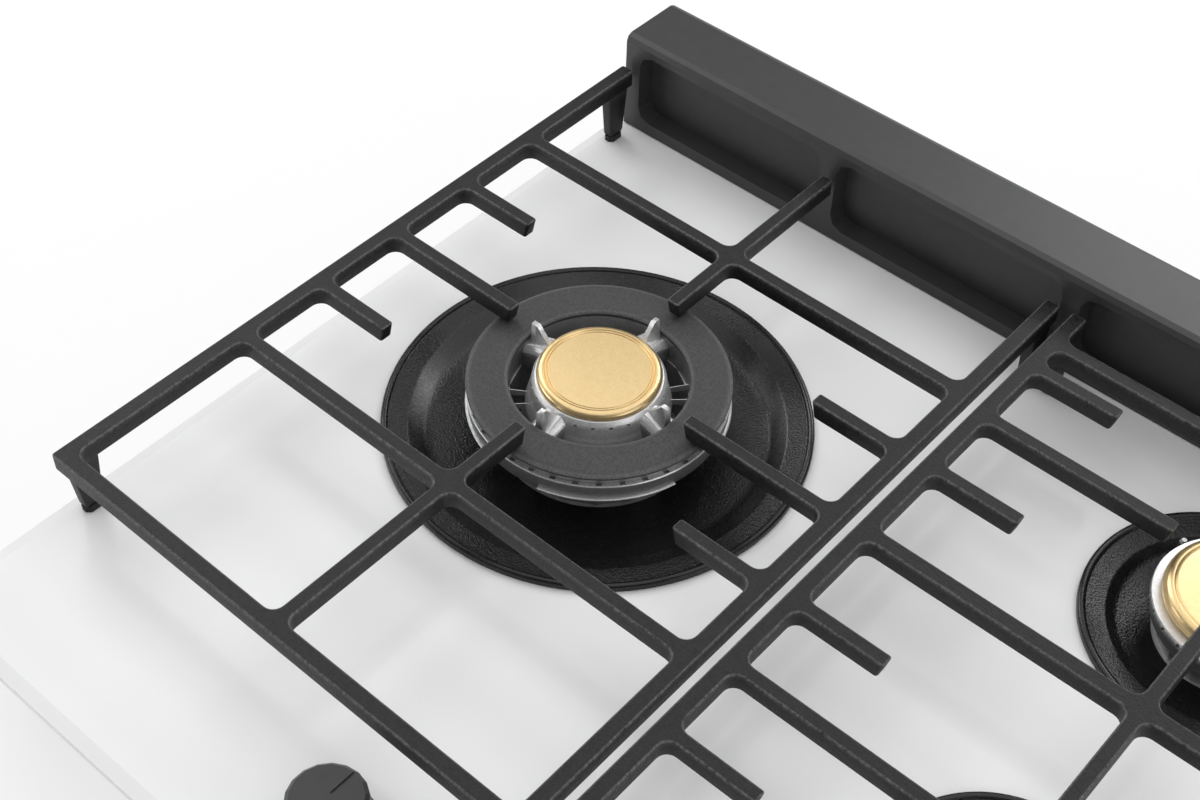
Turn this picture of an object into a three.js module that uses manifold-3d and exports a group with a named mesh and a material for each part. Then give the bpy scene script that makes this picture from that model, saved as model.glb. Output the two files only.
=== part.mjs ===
// A built-in gas hob with a glass top: a double-ring wok burner on the left, a semi-rapid and an
// auxiliary burner on the right, two cast-iron pan supports, three push-and-turn knobs and a low
// riser along the back. Millimetres, X to the right, Y to the back, Z up. The origin is under the
// middle of the burner box, at its floor.

import * as THREE from "three";
import { mergeVertices } from "three/addons/utils/BufferGeometryUtils.js";
import Module from "manifold-3d";

const wasm = await Module();
wasm.setup();

// ---------- Driving dimensions ----------

const seatGap = 0.3; // between two pieces that rest on each other
const slideGap = 0.3; // round a spindle in its bore

const boxSideInset = 15; // from the glass's side edge, which laps over the worktop
const boxEndInset = 17;
const boxHeight = 52;
const boxWall = 1.5;
const boxCorner = 18;
const boxRim = 14; // width of the inward rim that the glass is bonded to

const glassWidth = 580;
const glassDepth = 510;
const glassThickness = 6;
const glassCorner = 12;
const glassBevelWidth = 6;
const glassBevelDrop = 1.8;
const sealWidth = 9;
const sealThickness = 2.7;
const sealInset = 3; // from the edge of the glass

const riserHeight = 60;
const riserDepth = 41;
const riserBackInset = 6.7; // from the back edge of the glass
const riserEndInset = 6.5; // from the side edge of the glass
const riserTopRound = 4;
const riserPostPitch = 145.5;
const riserPostWidth = 10;
const riserRailHeight = 8;
const riserPocketDepth = 10;
const riserPocketCorner = 8;

const grateHeight = 42; // from the glass to the face that a pan stands on
const grateBarDepth = 10;
const grateEdgeRound = 0.9;
const grateFillet = 5.5;
const frameBarWidth = 7.7;
const crossBarWidth = 7;
const fingerWidth = 6.8;
const grateGap = 6.7; // between the two pan supports
const grateSideInset = 7.05; // from the side edge of the glass
const grateBackGap = 3.3; // from the riser to the tips of the tails
const crossBehindMiddle = 13.5; // the left support's cross, behind the supports' own middle
const legLength = 16;
const legToeLength = 10;
const legFromFront = 11;
const legFromBack = 11;
const footHeight = 3.5;
const footRound = 2;

const crossBarOffset = 99; // the left support's two cross bars, each side of its cross
const wokFingerTip = 53; // from the cross to the tips of the long fingers
const shortFingerTip = 88.3; // from the support's centre line to the tips of the short fingers
const shortFingerOffset = 50.1;
const rightBridgeOffset = 2; // the right support's bridge, behind the left one's cross
const rightTailLength = 23; // from the back cross bar to the tips of the tails
const semiFromBackBar = 62; // from the back cross bar to the semi-rapid burner's axis
const auxFromFront = 116; // from the support's front edge to the auxiliary burner's axis
const rightShortPitch = 42; // from a right burner to the short fingers each side of it

const wokOutward = 0.85; // how far outside the left support's cross the wok burner stands
const wokBackward = 1.7; // and how far behind it
const wokBowlRadius = 104.3;
const wokBowlNeck = 49;
const wokCupRadius = 46.2;
const wokRingRadius = 64.8;
const wokRingBore = 43.5;
const wokRingBottom = 13.8;
const wokRingTop = 26.5;
const wokCapRadius = 63.3;
const wokCapHole = 42.9;
const wokCapThickness = 3.4;
const wokCrownRadius = 31.5;
const wokCrownTop = 30.8;
const wokInnerCapRadius = 30;
const wokInnerCapTop = 34.5;
const wokFinPeak = 37.6;
const wokFinReach = 42.2;
const wokPortCount = 20;
const crownPortCount = 16;

const semiBowlRadius = 66;
const semiHeadRadius = 37;
const semiCapRadius = 33.5;
const semiCupRadius = 29;
const semiTipGap = 36; // from the burner's axis to the finger tips
const semiSlotCount = 14;

const auxBowlRadius = 55;
const auxHeadRadius = 27;
const auxCapRadius = 24;
const auxCupRadius = 21;
const auxTipGap = 32;
const auxSlotCount = 12;

const singleHeadBottom = 6.3;
const singleHeadTop = 19.5;
const singleCapTop = 27;
const bowlSheet = 1.5;
const bowlRimHeight = 3.6;
const bowlHoleMargin = 11.3; // from the bowl's edge in to the edge of the hole in the glass
const cupPostRadius = 12;
const probeRadius = 3;
const probeHoleGap = 0.6;

const knobPitch = 75;
const knobFromFront = 43; // from the front edge of the glass
const knobFrontGap = 11.5; // from the knobs to the pan supports
const knobRadius = 19.5;
const knobHeight = 22;
const knobStandOff = 4.3; // from the glass to the knob, more than its push travel
const spindleRadius = 4;
const spindleFlat = 2.8; // from the axis to the flat that drives the knob
const spindleAboveGlass = 15;
const spindleHoleRadius = 7;
const collarRadius = 9;
const collarHeight = 6.5;
const pushTravel = 3;

const manifoldRadius = 8;
const manifoldZ = 16;
const manifoldSetback = 24; // behind the knobs' axes
const manifoldOverrun = 35; // past the left knob's axis
const manifoldPlugLength = 8;
const manifoldPlugLap = 2;
const leftBracketFromKnob = 17;
const rightBracketFromKnob = 33;
const bracketWidth = 14;
const bracketDepth = 24;
const valveWidth = 24;
const valveDepth = 20;
const valveBottom = 11;
const valveTop = 36;
const valveNeckRadius = 8;
const valveNeckHeight = 4.2;
const pipeRadius = 4;
const pipeOutletZ = 30;
const injectorZ = 16;
const inletFromSide = 37; // from the side of the box
const inletRun = 58; // from the manifold's end to the inlet's axis
const inletPipeRadius = 6;
const inletBend = 24;
const inletRadius = 9.5;
const inletNutRadius = 12;
const inletNutLength = 30.2;
const inletNutStep = 4;
const inletReach = 14; // how far the threaded end stands out of the box

const igniterWidth = 70;
const igniterDepth = 40;
const igniterHeight = 24;
const igniterFromBack = 88; // from the back of the box
const clampWidth = 20;
const clampSheet = 1.5;
const clampReach = 11;
const clampFromEnd = 88; // from the front and the back of the box
const clampBottom = 12;
const clampHeight = 26;

// ---------- Derived levels ----------

const glassBottom = boxHeight + seatGap;
const glassTop = glassBottom + glassThickness;
const grateTop = glassTop + grateHeight;
const barBottom = grateTop - grateBarDepth;
const boxWidth = glassWidth - 2 * boxSideInset;
const boxDepth = glassDepth - 2 * boxEndInset;
const riserFront = glassDepth / 2 - riserBackInset - riserDepth;
const knobY = knobFromFront - glassDepth / 2;
const grateWidth = (glassWidth - grateGap) / 2 - grateSideInset;
const grateSpread = (grateWidth + grateGap) / 2; // from the hob's middle to each support's own
const grateFrontY = knobY + knobRadius + knobFrontGap;
const grateBackY = riserFront - grateBackGap;
const grateY = (grateFrontY + grateBackY) / 2 + crossBehindMiddle;
const grateFront = grateY - grateFrontY; // from the left support's cross to the front edge
const grateBack = grateBackY - grateY; // from that cross to the tips of the tails
const halfGrate = grateWidth / 2;
const barInside = halfGrate - frameBarWidth;
const rightBackBar = grateBack - rightTailLength;
const semiRow = rightBackBar - semiFromBackBar;
const auxRow = auxFromFront - grateFront;
const wokX = -grateSpread - wokOutward;
const wokY = grateY + wokBackward;
const semiY = grateY + semiRow;
const auxY = grateY + auxRow;
const manifoldY = knobY + manifoldSetback;
const manifoldLeft = -knobPitch - manifoldOverrun;
const inletX = boxWidth / 2 - inletFromSide;
const manifoldRight = inletX - inletRun;
const inletNutEnd = boxDepth / 2 - boxWall - seatGap;
const inletNutStart = inletNutEnd - inletNutLength;
const igniterY = boxDepth / 2 - igniterFromBack;
const clampY = boxDepth / 2 - clampFromEnd;

// ---------- Materials ----------

const finish = (color, roughness, metalness) =>
  new THREE.MeshStandardMaterial({ color, roughness, metalness });

const whiteGlass = finish(0xe9e9e9, 0.12, 0);
const castIron = finish(0x2f3031, 0.7, 0.1);
const blackEnamel = finish(0x1b1b1c, 0.4, 0.1);
const aluminium = finish(0xb9bbbd, 0.38, 1);
const goldBrass = finish(0xd9b36c, 0.3, 1);
const brass = finish(0xb99a55, 0.35, 1);
const steel = finish(0x9a9da0, 0.45, 1);
const blackPlastic = finish(0x1c1c1d, 0.5, 0);
const blackRubber = finish(0x111111, 0.9, 0);
const ceramic = finish(0xe8e4da, 0.5, 0);

// ---------- Shapes ----------

// The closed surface of a three.js geometry as a solid that faces out.
function solid(geometry) {
  const bare = new THREE.BufferGeometry();
  bare.setAttribute("position", geometry.getAttribute("position").clone());
  if (geometry.index) bare.setIndex(geometry.index.clone());
  const merged = mergeVertices(bare, 1e-4);
  const at = merged.getAttribute("position");
  const corners = merged.index.array;
  const kept = [];
  let volume = 0;
  const [a, b, c] = [new THREE.Vector3(), new THREE.Vector3(), new THREE.Vector3()];
  for (let i = 0; i < corners.length; i += 3) {
    const [p, q, r] = [corners[i], corners[i + 1], corners[i + 2]];
    if (p === q || q === r || r === p) continue;
    kept.push(p, q, r);
    a.fromBufferAttribute(at, p);
    b.fromBufferAttribute(at, q);
    c.fromBufferAttribute(at, r);
    volume += a.dot(b.cross(c));
  }
  if (volume < 0) kept.reverse();
  const mesh = new wasm.Mesh({
    numProp: 3,
    vertProperties: new Float32Array(at.array),
    triVerts: new Uint32Array(kept),
  });
  return new wasm.Manifold(mesh);
}

function geometryOf(body) {
  const made = body.getMesh();
  const geometry = new THREE.BufferGeometry();
  geometry.setAttribute("position", new THREE.BufferAttribute(made.vertProperties.slice(), 3));
  geometry.setIndex(new THREE.BufferAttribute(made.triVerts.slice(), 1));
  geometry.computeVertexNormals();
  return geometry;
}

const joined = (first, ...rest) => rest.reduce((sum, next) => sum.add(next), first);
const cutFrom = (first, ...rest) => rest.reduce((left, next) => left.subtract(next), first);

// Corners [x, y, radius] as a closed run of points, with each corner rounded by an arc.
function rounded(corners, stepDegrees = 45) {
  const points = [];
  corners.forEach(([x, y, radius = 0], i) => {
    const here = new THREE.Vector2(x, y);
    if (radius <= 0) {
      points.push(here);
      return;
    }
    const before = corners[(i + corners.length - 1) % corners.length];
    const after = corners[(i + 1) % corners.length];
    const back = new THREE.Vector2(before[0], before[1]).sub(here).normalize();
    const ahead = new THREE.Vector2(after[0], after[1]).sub(here).normalize();
    const half = Math.acos(THREE.MathUtils.clamp(back.dot(ahead), -1, 1)) / 2;
    const centre = back.clone().add(ahead).normalize();
    centre.multiplyScalar(radius / Math.sin(half)).add(here);
    const start = back.multiplyScalar(radius / Math.tan(half)).add(here).sub(centre).angle();
    const end = ahead.multiplyScalar(radius / Math.tan(half)).add(here).sub(centre).angle();
    const sweep = THREE.MathUtils.euclideanModulo(end - start + Math.PI, 2 * Math.PI) - Math.PI;
    const steps = Math.max(1, Math.round(THREE.MathUtils.radToDeg(Math.abs(sweep)) / stepDegrees));
    for (let k = 0; k <= steps; k++) {
      const turn = start + (sweep * k) / steps;
      const reach = new THREE.Vector2(Math.cos(turn), Math.sin(turn)).multiplyScalar(radius);
      points.push(reach.add(centre));
    }
  });
  return points;
}

function rectangle(width, depth, radius = 0, x = 0, y = 0, stepDegrees = 45) {
  const [w, d] = [width / 2, depth / 2];
  const corners = [
    [x - w, y - d, radius],
    [x + w, y - d, radius],
    [x + w, y + d, radius],
    [x - w, y + d, radius],
  ];
  return rounded(corners, stepDegrees);
}

// An outline moved in by a distance, or out where the distance is below zero.
function movedIn(points, distance) {
  return points.map((here, i) => {
    const before = points[(i + points.length - 1) % points.length];
    const after = points[(i + 1) % points.length];
    const reached = here.clone().sub(before).normalize();
    const leaving = after.clone().sub(here).normalize();
    const inward = new THREE.Vector2(-reached.y - leaving.y, reached.x + leaving.x);
    return inward.multiplyScalar(distance / (1 + reached.dot(leaving))).add(here);
  });
}

// Outlines with equally many points at rising levels, joined by straight walls. Each level can have
// holes, which run through all of them.
function lofted(levels) {
  const runs = levels.map(({ points, holes = [] }) => [points, ...holes]);
  const size = runs[0].flat().length;
  const at = levels.flatMap(({ z }, i) => runs[i].flat().flatMap((p) => [p.x, p.y, z]));
  const index = [];
  let start = 0;
  runs[0].forEach((run, which) => {
    for (let level = 0; level + 1 < levels.length; level++) {
      for (let i = 0; i < run.length; i++) {
        const low = level * size + start + i;
        const next = level * size + start + ((i + 1) % run.length);
        const wall = [low, next, next + size, low, next + size, low + size];
        index.push(...(which === 0 ? wall : wall.reverse()));
      }
    }
    start += run.length;
  });
  const last = levels.length - 1;
  const floor = THREE.ShapeUtils.triangulateShape(runs[0][0], runs[0].slice(1));
  const roof = THREE.ShapeUtils.triangulateShape(runs[last][0], runs[last].slice(1));
  floor.forEach(([p, q, r]) => index.push(r, q, p));
  roof.forEach((corners) => index.push(...corners.map((corner) => last * size + corner)));
  const geometry = new THREE.BufferGeometry();
  geometry.setAttribute("position", new THREE.Float32BufferAttribute(at, 3));
  geometry.setIndex(index);
  return solid(geometry);
}

// A flat outline, with holes if it has any, raised from one level to another. Its upper edges can
// be eased.
function raised(points, from, to, { holes = [], edge = 0 } = {}) {
  const levels = [{ points, holes, z: from }, { points, holes, z: to - edge }];
  if (edge > 0) {
    const wider = holes.map((hole) => movedIn(hole, -edge));
    levels.push({ points: movedIn(points, edge), holes: wider, z: to });
  }
  return lofted(levels);
}

// A profile of [radius, height] pairs turned about the Z axis.
function turned(profile, sides, x = 0, y = 0) {
  const points = profile.map(([r, z]) => new THREE.Vector2(r, z));
  if (profile[0][0] > 0) points.push(points[0].clone());
  const geometry = new THREE.LatheGeometry(points, sides);
  geometry.rotateX(Math.PI / 2);
  geometry.translate(x, y, 0);
  return solid(geometry);
}

function rod(radius, from, to, x = 0, y = 0, sides = 16) {
  const profile = [[0, from], [radius, from], [radius, to], [0, to]];
  return turned(profile, sides, x, y);
}

// A rod that lies along Y, from one depth to another.
function rodAlongY(radius, from, to, x, z, sides = 16) {
  const geometry = new THREE.CylinderGeometry(radius, radius, to - from, sides);
  geometry.translate(x, (from + to) / 2, z);
  return solid(geometry);
}

function block(width, depth, height, x, y, bottom) {
  const geometry = new THREE.BoxGeometry(width, depth, height);
  geometry.translate(x, y, bottom + height / 2);
  return solid(geometry);
}

// A pressed sheet: the run of its upper face, with the lower face one sheet thickness inside it,
// which leaves out the bends that are marked as skipped.
function sheetProfile(upper, sheet) {
  const lower = upper.map(([r, z], i) => {
    const before = upper[Math.max(i - 1, 0)];
    const after = upper[Math.min(i + 1, upper.length - 1)];
    const along = new THREE.Vector2(after[0] - before[0], after[1] - before[1]).normalize();
    return [r + along.y * -sheet, z + along.x * sheet];
  });
  const kept = lower.filter((_, i) => !upper[i][2]);
  return [...upper, ...kept.reverse()];
}

// A pipe through the given points, its bends rounded.
function pipe(points, radius, bend, sides = 6) {
  const at = points.map((p) => new THREE.Vector3(...p));
  const route = new THREE.CurvePath();
  let from = at[0];
  for (let i = 1; i + 1 < at.length; i++) {
    const back = at[i - 1].clone().sub(at[i]).normalize().multiplyScalar(bend).add(at[i]);
    const ahead = at[i + 1].clone().sub(at[i]).normalize().multiplyScalar(bend).add(at[i]);
    route.add(new THREE.LineCurve3(from, back));
    route.add(new THREE.QuadraticBezierCurve3(back, at[i], ahead));
    from = ahead;
  }
  route.add(new THREE.LineCurve3(from, at[at.length - 1]));
  const section = new THREE.Shape();
  for (let i = 0; i < sides; i++) {
    const turn = (2 * Math.PI * (i + 0.5)) / sides;
    const [x, y] = [radius * Math.cos(turn), radius * Math.sin(turn)];
    if (i === 0) section.moveTo(x, y);
    else section.lineTo(x, y);
  }
  const options = { steps: 10, bevelEnabled: false, extrudePath: route };
  return solid(new THREE.ExtrudeGeometry(section, options));
}

// A copy of a solid turned about the vertical line through x, y.
function spun(body, degrees, x, y) {
  const geometry = geometryOf(body);
  geometry.translate(-x, -y, 0);
  geometry.rotateZ(THREE.MathUtils.degToRad(degrees));
  geometry.translate(x, y, 0);
  return solid(geometry);
}

// The outline of a window with fingers that reach in from its sides. A finger is
// { at, tip, width }: its place along the side, how far in its tip lies, and its width.
function window(left, right, front, back, fingers) {
  const fillet = grateFillet;
  const side = (list, sign) => [...(list ?? [])].sort((p, q) => sign * (p.at - q.at));
  const corners = [[left, front, fillet]];
  for (const { at, tip, width = fingerWidth } of side(fingers.front, 1)) {
    corners.push([at - width / 2, front, fillet], [at - width / 2, tip]);
    corners.push([at + width / 2, tip], [at + width / 2, front, fillet]);
  }
  corners.push([right, front, fillet]);
  for (const { at, tip, width = fingerWidth } of side(fingers.right, 1)) {
    corners.push([right, at - width / 2, fillet], [tip, at - width / 2]);
    corners.push([tip, at + width / 2], [right, at + width / 2, fillet]);
  }
  corners.push([right, back, fillet]);
  for (const { at, tip, width = fingerWidth } of side(fingers.back, -1)) {
    corners.push([at + width / 2, back, fillet], [at + width / 2, tip]);
    corners.push([at - width / 2, tip], [at - width / 2, back, fillet]);
  }
  corners.push([left, back, fillet]);
  for (const { at, tip, width = fingerWidth } of side(fingers.left, -1)) {
    corners.push([left, at + width / 2, fillet], [tip, at + width / 2]);
    corners.push([tip, at - width / 2], [left, at - width / 2, fillet]);
  }
  return rounded(corners);
}

// ---------- The assembly ----------

const hob = new THREE.Group();

function add(name, body, material, parent = hob) {
  const mesh = new THREE.Mesh(geometryOf(body), material);
  mesh.name = name;
  parent.add(mesh);
}

// ---------- Glass top, its seal and the burner box ----------

const burners = [
  { name: "wok", x: wokX, y: wokY, bowl: wokBowlRadius },
  { name: "semi_rapid", x: grateSpread, y: semiY, bowl: semiBowlRadius },
  { name: "auxiliary", x: grateSpread, y: auxY, bowl: auxBowlRadius },
];
const knobs = burners.map(({ name }, i) => ({ name, x: (i - 1) * knobPitch }));
const valveOrder = { wok: 0, semi_rapid: 1, auxiliary: 2 };

function glassPlate() {
  const outer = rectangle(glassWidth, glassDepth, glassCorner, 0, 0, 22.5);
  const inner = rectangle(
    glassWidth - 2 * glassBevelWidth,
    glassDepth - 2 * glassBevelWidth,
    glassCorner - glassBevelWidth,
    0,
    0,
    22.5,
  );
  const plate = lofted([
    { points: outer, z: glassBottom },
    { points: outer, z: glassTop - glassBevelDrop },
    { points: inner, z: glassTop },
  ]);
  const through = [glassBottom - 1, glassTop + 1];
  const bowlHoles = burners.map(({ x, y, bowl }) => rod(bowl - bowlHoleMargin, ...through, x, y, 28));
  const knobHoles = knobs.map(({ x }) => rod(spindleHoleRadius, ...through, x, knobY, 12));
  return cutFrom(plate, ...bowlHoles, ...knobHoles);
}

function sealStrip() {
  const width = glassWidth - 2 * sealInset;
  const depth = glassDepth - 2 * sealInset;
  const inside = rectangle(width - 2 * sealWidth, depth - 2 * sealWidth, glassCorner);
  const outside = rectangle(width, depth, glassCorner);
  return raised(outside, boxHeight - sealThickness, boxHeight, { holes: [inside] });
}

function burnerBox() {
  const inset = (by) => rectangle(boxWidth - 2 * by, boxDepth - 2 * by, boxCorner - by);
  const shell = raised(rectangle(boxWidth, boxDepth, boxCorner), 0, boxHeight);
  const inside = raised(inset(boxWall), boxWall, boxHeight - boxWall);
  const mouth = raised(rectangle(boxWidth - 2 * boxRim, boxDepth - 2 * boxRim, 8), boxWall, boxHeight + 1);
  const port = rodAlongY(
    inletRadius + slideGap,
    boxDepth / 2 - 2 * boxWall,
    boxDepth / 2 + boxWall,
    inletX,
    manifoldZ,
  );
  return cutFrom(shell, inside, mouth, port);
}

add("glass_top", glassPlate(), whiteGlass);
add("glass_seal", sealStrip(), blackRubber);
add("burner_box", burnerBox(), steel);

// Sheet-steel hooks on the box's sides that hold it down to the worktop.
for (const [side, sign] of [["left", -1], ["right", 1]]) {
  for (const [end, y] of [["front", -clampY], ["rear", clampY]]) {
    const face = boxWidth / 2 + seatGap;
    const upright = block(
      clampSheet,
      clampWidth,
      clampHeight,
      sign * (face + clampSheet / 2),
      y,
      clampBottom,
    );
    const foot = block(
      clampReach,
      clampWidth,
      clampSheet,
      sign * (face + clampReach / 2),
      y,
      clampBottom,
    );
    add(`worktop_clamp_${side}_${end}`, joined(upright, foot), steel);
  }
}

// ---------- Rear riser ----------

function rearRiser() {
  const bottom = glassTop + seatGap;
  const top = glassTop + riserHeight;
  const back = riserFront + riserDepth;
  const width = glassWidth - 2 * riserEndInset;
  const section = rounded([
    [riserFront, bottom, 0.6],
    [back, bottom, 0.6],
    [back, top, riserTopRound],
    [riserFront, top, riserTopRound],
  ]);
  const along = new THREE.ExtrudeGeometry(new THREE.Shape(section), {
    depth: width,
    bevelEnabled: false,
  });
  // The section's x and y become the object's Y and Z, and its depth becomes X.
  along.rotateX(Math.PI / 2);
  along.rotateZ(Math.PI / 2);
  along.translate(-width / 2, 0, 0);
  const body = solid(along);
  const pocketBottom = glassTop + riserRailHeight;
  const pocketTop = top - riserRailHeight;
  const edges = [-width / 2 + riserPostWidth / 2, -riserPostPitch, 0, riserPostPitch];
  edges.push(width / 2 - riserPostWidth / 2);
  const pockets = edges.slice(1).map((right, i) => {
    const span = right - edges[i] - riserPostWidth;
    const draft = 1.2;
    const mouth = rectangle(span, pocketTop - pocketBottom, riserPocketCorner, 0, 0);
    const floor = rectangle(
      span - 2 * draft,
      pocketTop - pocketBottom - 2 * draft,
      riserPocketCorner - draft,
      0,
      0,
    );
    const cutter = lofted([
      { points: mouth, z: -1 },
      { points: mouth, z: 0 },
      { points: floor, z: riserPocketDepth },
    ]);
    const geometry = geometryOf(cutter);
    geometry.rotateX(-Math.PI / 2);
    geometry.translate((right + edges[i]) / 2, riserFront, (pocketTop + pocketBottom) / 2);
    return solid(geometry);
  });
  return cutFrom(body, ...pockets);
}

add("rear_riser", rearRiser(), blackPlastic);

// ---------- Drip bowls ----------

// The upper face of a drip bowl, from its outer foot to its neck, as [radius, height] points.
function bowlFace(radius, neck, floorDepth) {
  const step = radius - bowlHoleMargin - 2;
  const span = step - 2.5 - neck;
  return [
    [radius, glassTop + seatGap],
    [radius, glassTop + bowlRimHeight - 0.9, "skipped"],
    [radius - 1, glassTop + bowlRimHeight, "skipped"],
    [radius - 2.8, glassTop + bowlRimHeight - 0.5],
    [step, glassTop + bowlSheet + seatGap],
    [step - 2.5, glassTop - 0.7],
    [step - 2.5 - span * 0.4, glassTop - floorDepth * 0.7],
    [neck + span * 0.15, glassTop - floorDepth, "skipped"],
    [neck, glassTop - floorDepth],
  ];
}

// The spark electrode and the flame probe stand at these turns round each burner.
const sparkTurn = 100;
const probeTurn = 150;

function around(x, y, radius, degrees) {
  const turn = THREE.MathUtils.degToRad(degrees);
  return [x + radius * Math.cos(turn), y + radius * Math.sin(turn)];
}

const bowls = {
  wok: { neck: wokBowlNeck, floor: 7.6, sides: 32, probes: wokRingRadius - 2.3 },
  semi_rapid: { neck: semiCupRadius + 2.5, floor: 5, sides: 22, probes: semiHeadRadius + 4.5 },
  auxiliary: { neck: auxCupRadius + 2.5, floor: 5, sides: 18, probes: auxHeadRadius + 4.5 },
};

for (const { name, x, y, bowl } of burners) {
  const { neck, floor, sides, probes } = bowls[name];
  const dish = turned(sheetProfile(bowlFace(bowl, neck, floor), bowlSheet), sides, x, y);
  const holes = [sparkTurn, probeTurn].map((turn) => {
    const [px, py] = around(x, y, probes, turn);
    return rod(probeRadius + probeHoleGap, glassTop - 30, glassTop + 10, px, py, 8);
  });
  add(`${name}_drip_bowl`, cutFrom(dish, ...holes), blackEnamel);
}

// ---------- Burner cups, with the injector in the post ----------

function burnerCup({ x, y, radius, top, flange, flangeTop, sides }) {
  const foot = boxWall + seatGap;
  const wall = 2.7;
  const profile = [
    [0, foot],
    [cupPostRadius, foot],
    [cupPostRadius, glassTop - 33],
    [radius - 6, glassTop - 28],
    [radius, glassTop - 20],
    [radius, flangeTop - 2.3],
    [flange, flangeTop - 2.3],
    [flange, flangeTop],
    [radius, flangeTop],
    [radius, top],
    [radius - wall, top],
    [radius - wall, glassTop - 18],
    [radius - 10, glassTop - 24],
    [0, glassTop - 26],
  ];
  return turned(profile, sides, x, y);
}

const cups = {
  wok: { radius: wokCupRadius, top: glassTop + wokRingBottom - seatGap, sides: 18 },
  semi_rapid: { radius: semiCupRadius, top: glassTop + singleHeadBottom - seatGap, sides: 14 },
  auxiliary: { radius: auxCupRadius, top: glassTop + singleHeadBottom - seatGap, sides: 14 },
};

for (const { name, x, y } of burners) {
  const { neck, floor } = bowls[name];
  const flangeTop = glassTop - floor - bowlSheet - seatGap;
  const cup = burnerCup({ x, y, flange: neck + 4, flangeTop, ...cups[name] });
  add(`${name}_burner_cup`, cup, aluminium);
}

// ---------- Spark electrodes and flame probes ----------

for (const { name, x, y } of burners) {
  const { probes, floor } = bowls[name];
  const top = name === "wok" ? wokRingBottom - 1 : singleHeadBottom + 8;
  const bottom = glassTop - floor - 16;
  const [sx, sy] = around(x, y, probes, sparkTurn);
  const electrode = turned(
    [
      [0, bottom],
      [probeRadius, bottom],
      [probeRadius, glassTop + top - 6],
      [1, glassTop + top - 5],
      [1, glassTop + top],
      [0, glassTop + top],
    ],
    8,
    sx,
    sy,
  );
  add(`${name}_spark_electrode`, electrode, ceramic);
  const [px, py] = around(x, y, probes, probeTurn);
  const probe = turned(
    [
      [0, bottom],
      [probeRadius - 0.8, bottom],
      [probeRadius - 0.8, glassTop - floor - 6],
      [probeRadius, glassTop - floor - 5],
      [probeRadius, glassTop - floor + 4],
      [2, glassTop - floor + 5],
      [2, glassTop + top - 1.5],
      [1.2, glassTop + top],
      [0, glassTop + top],
    ],
    8,
    px,
    py,
  );
  add(`${name}_flame_probe`, probe, steel);
}

// ---------- Wok burner: a flame ring and a crown, joined by four finned arms ----------

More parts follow.
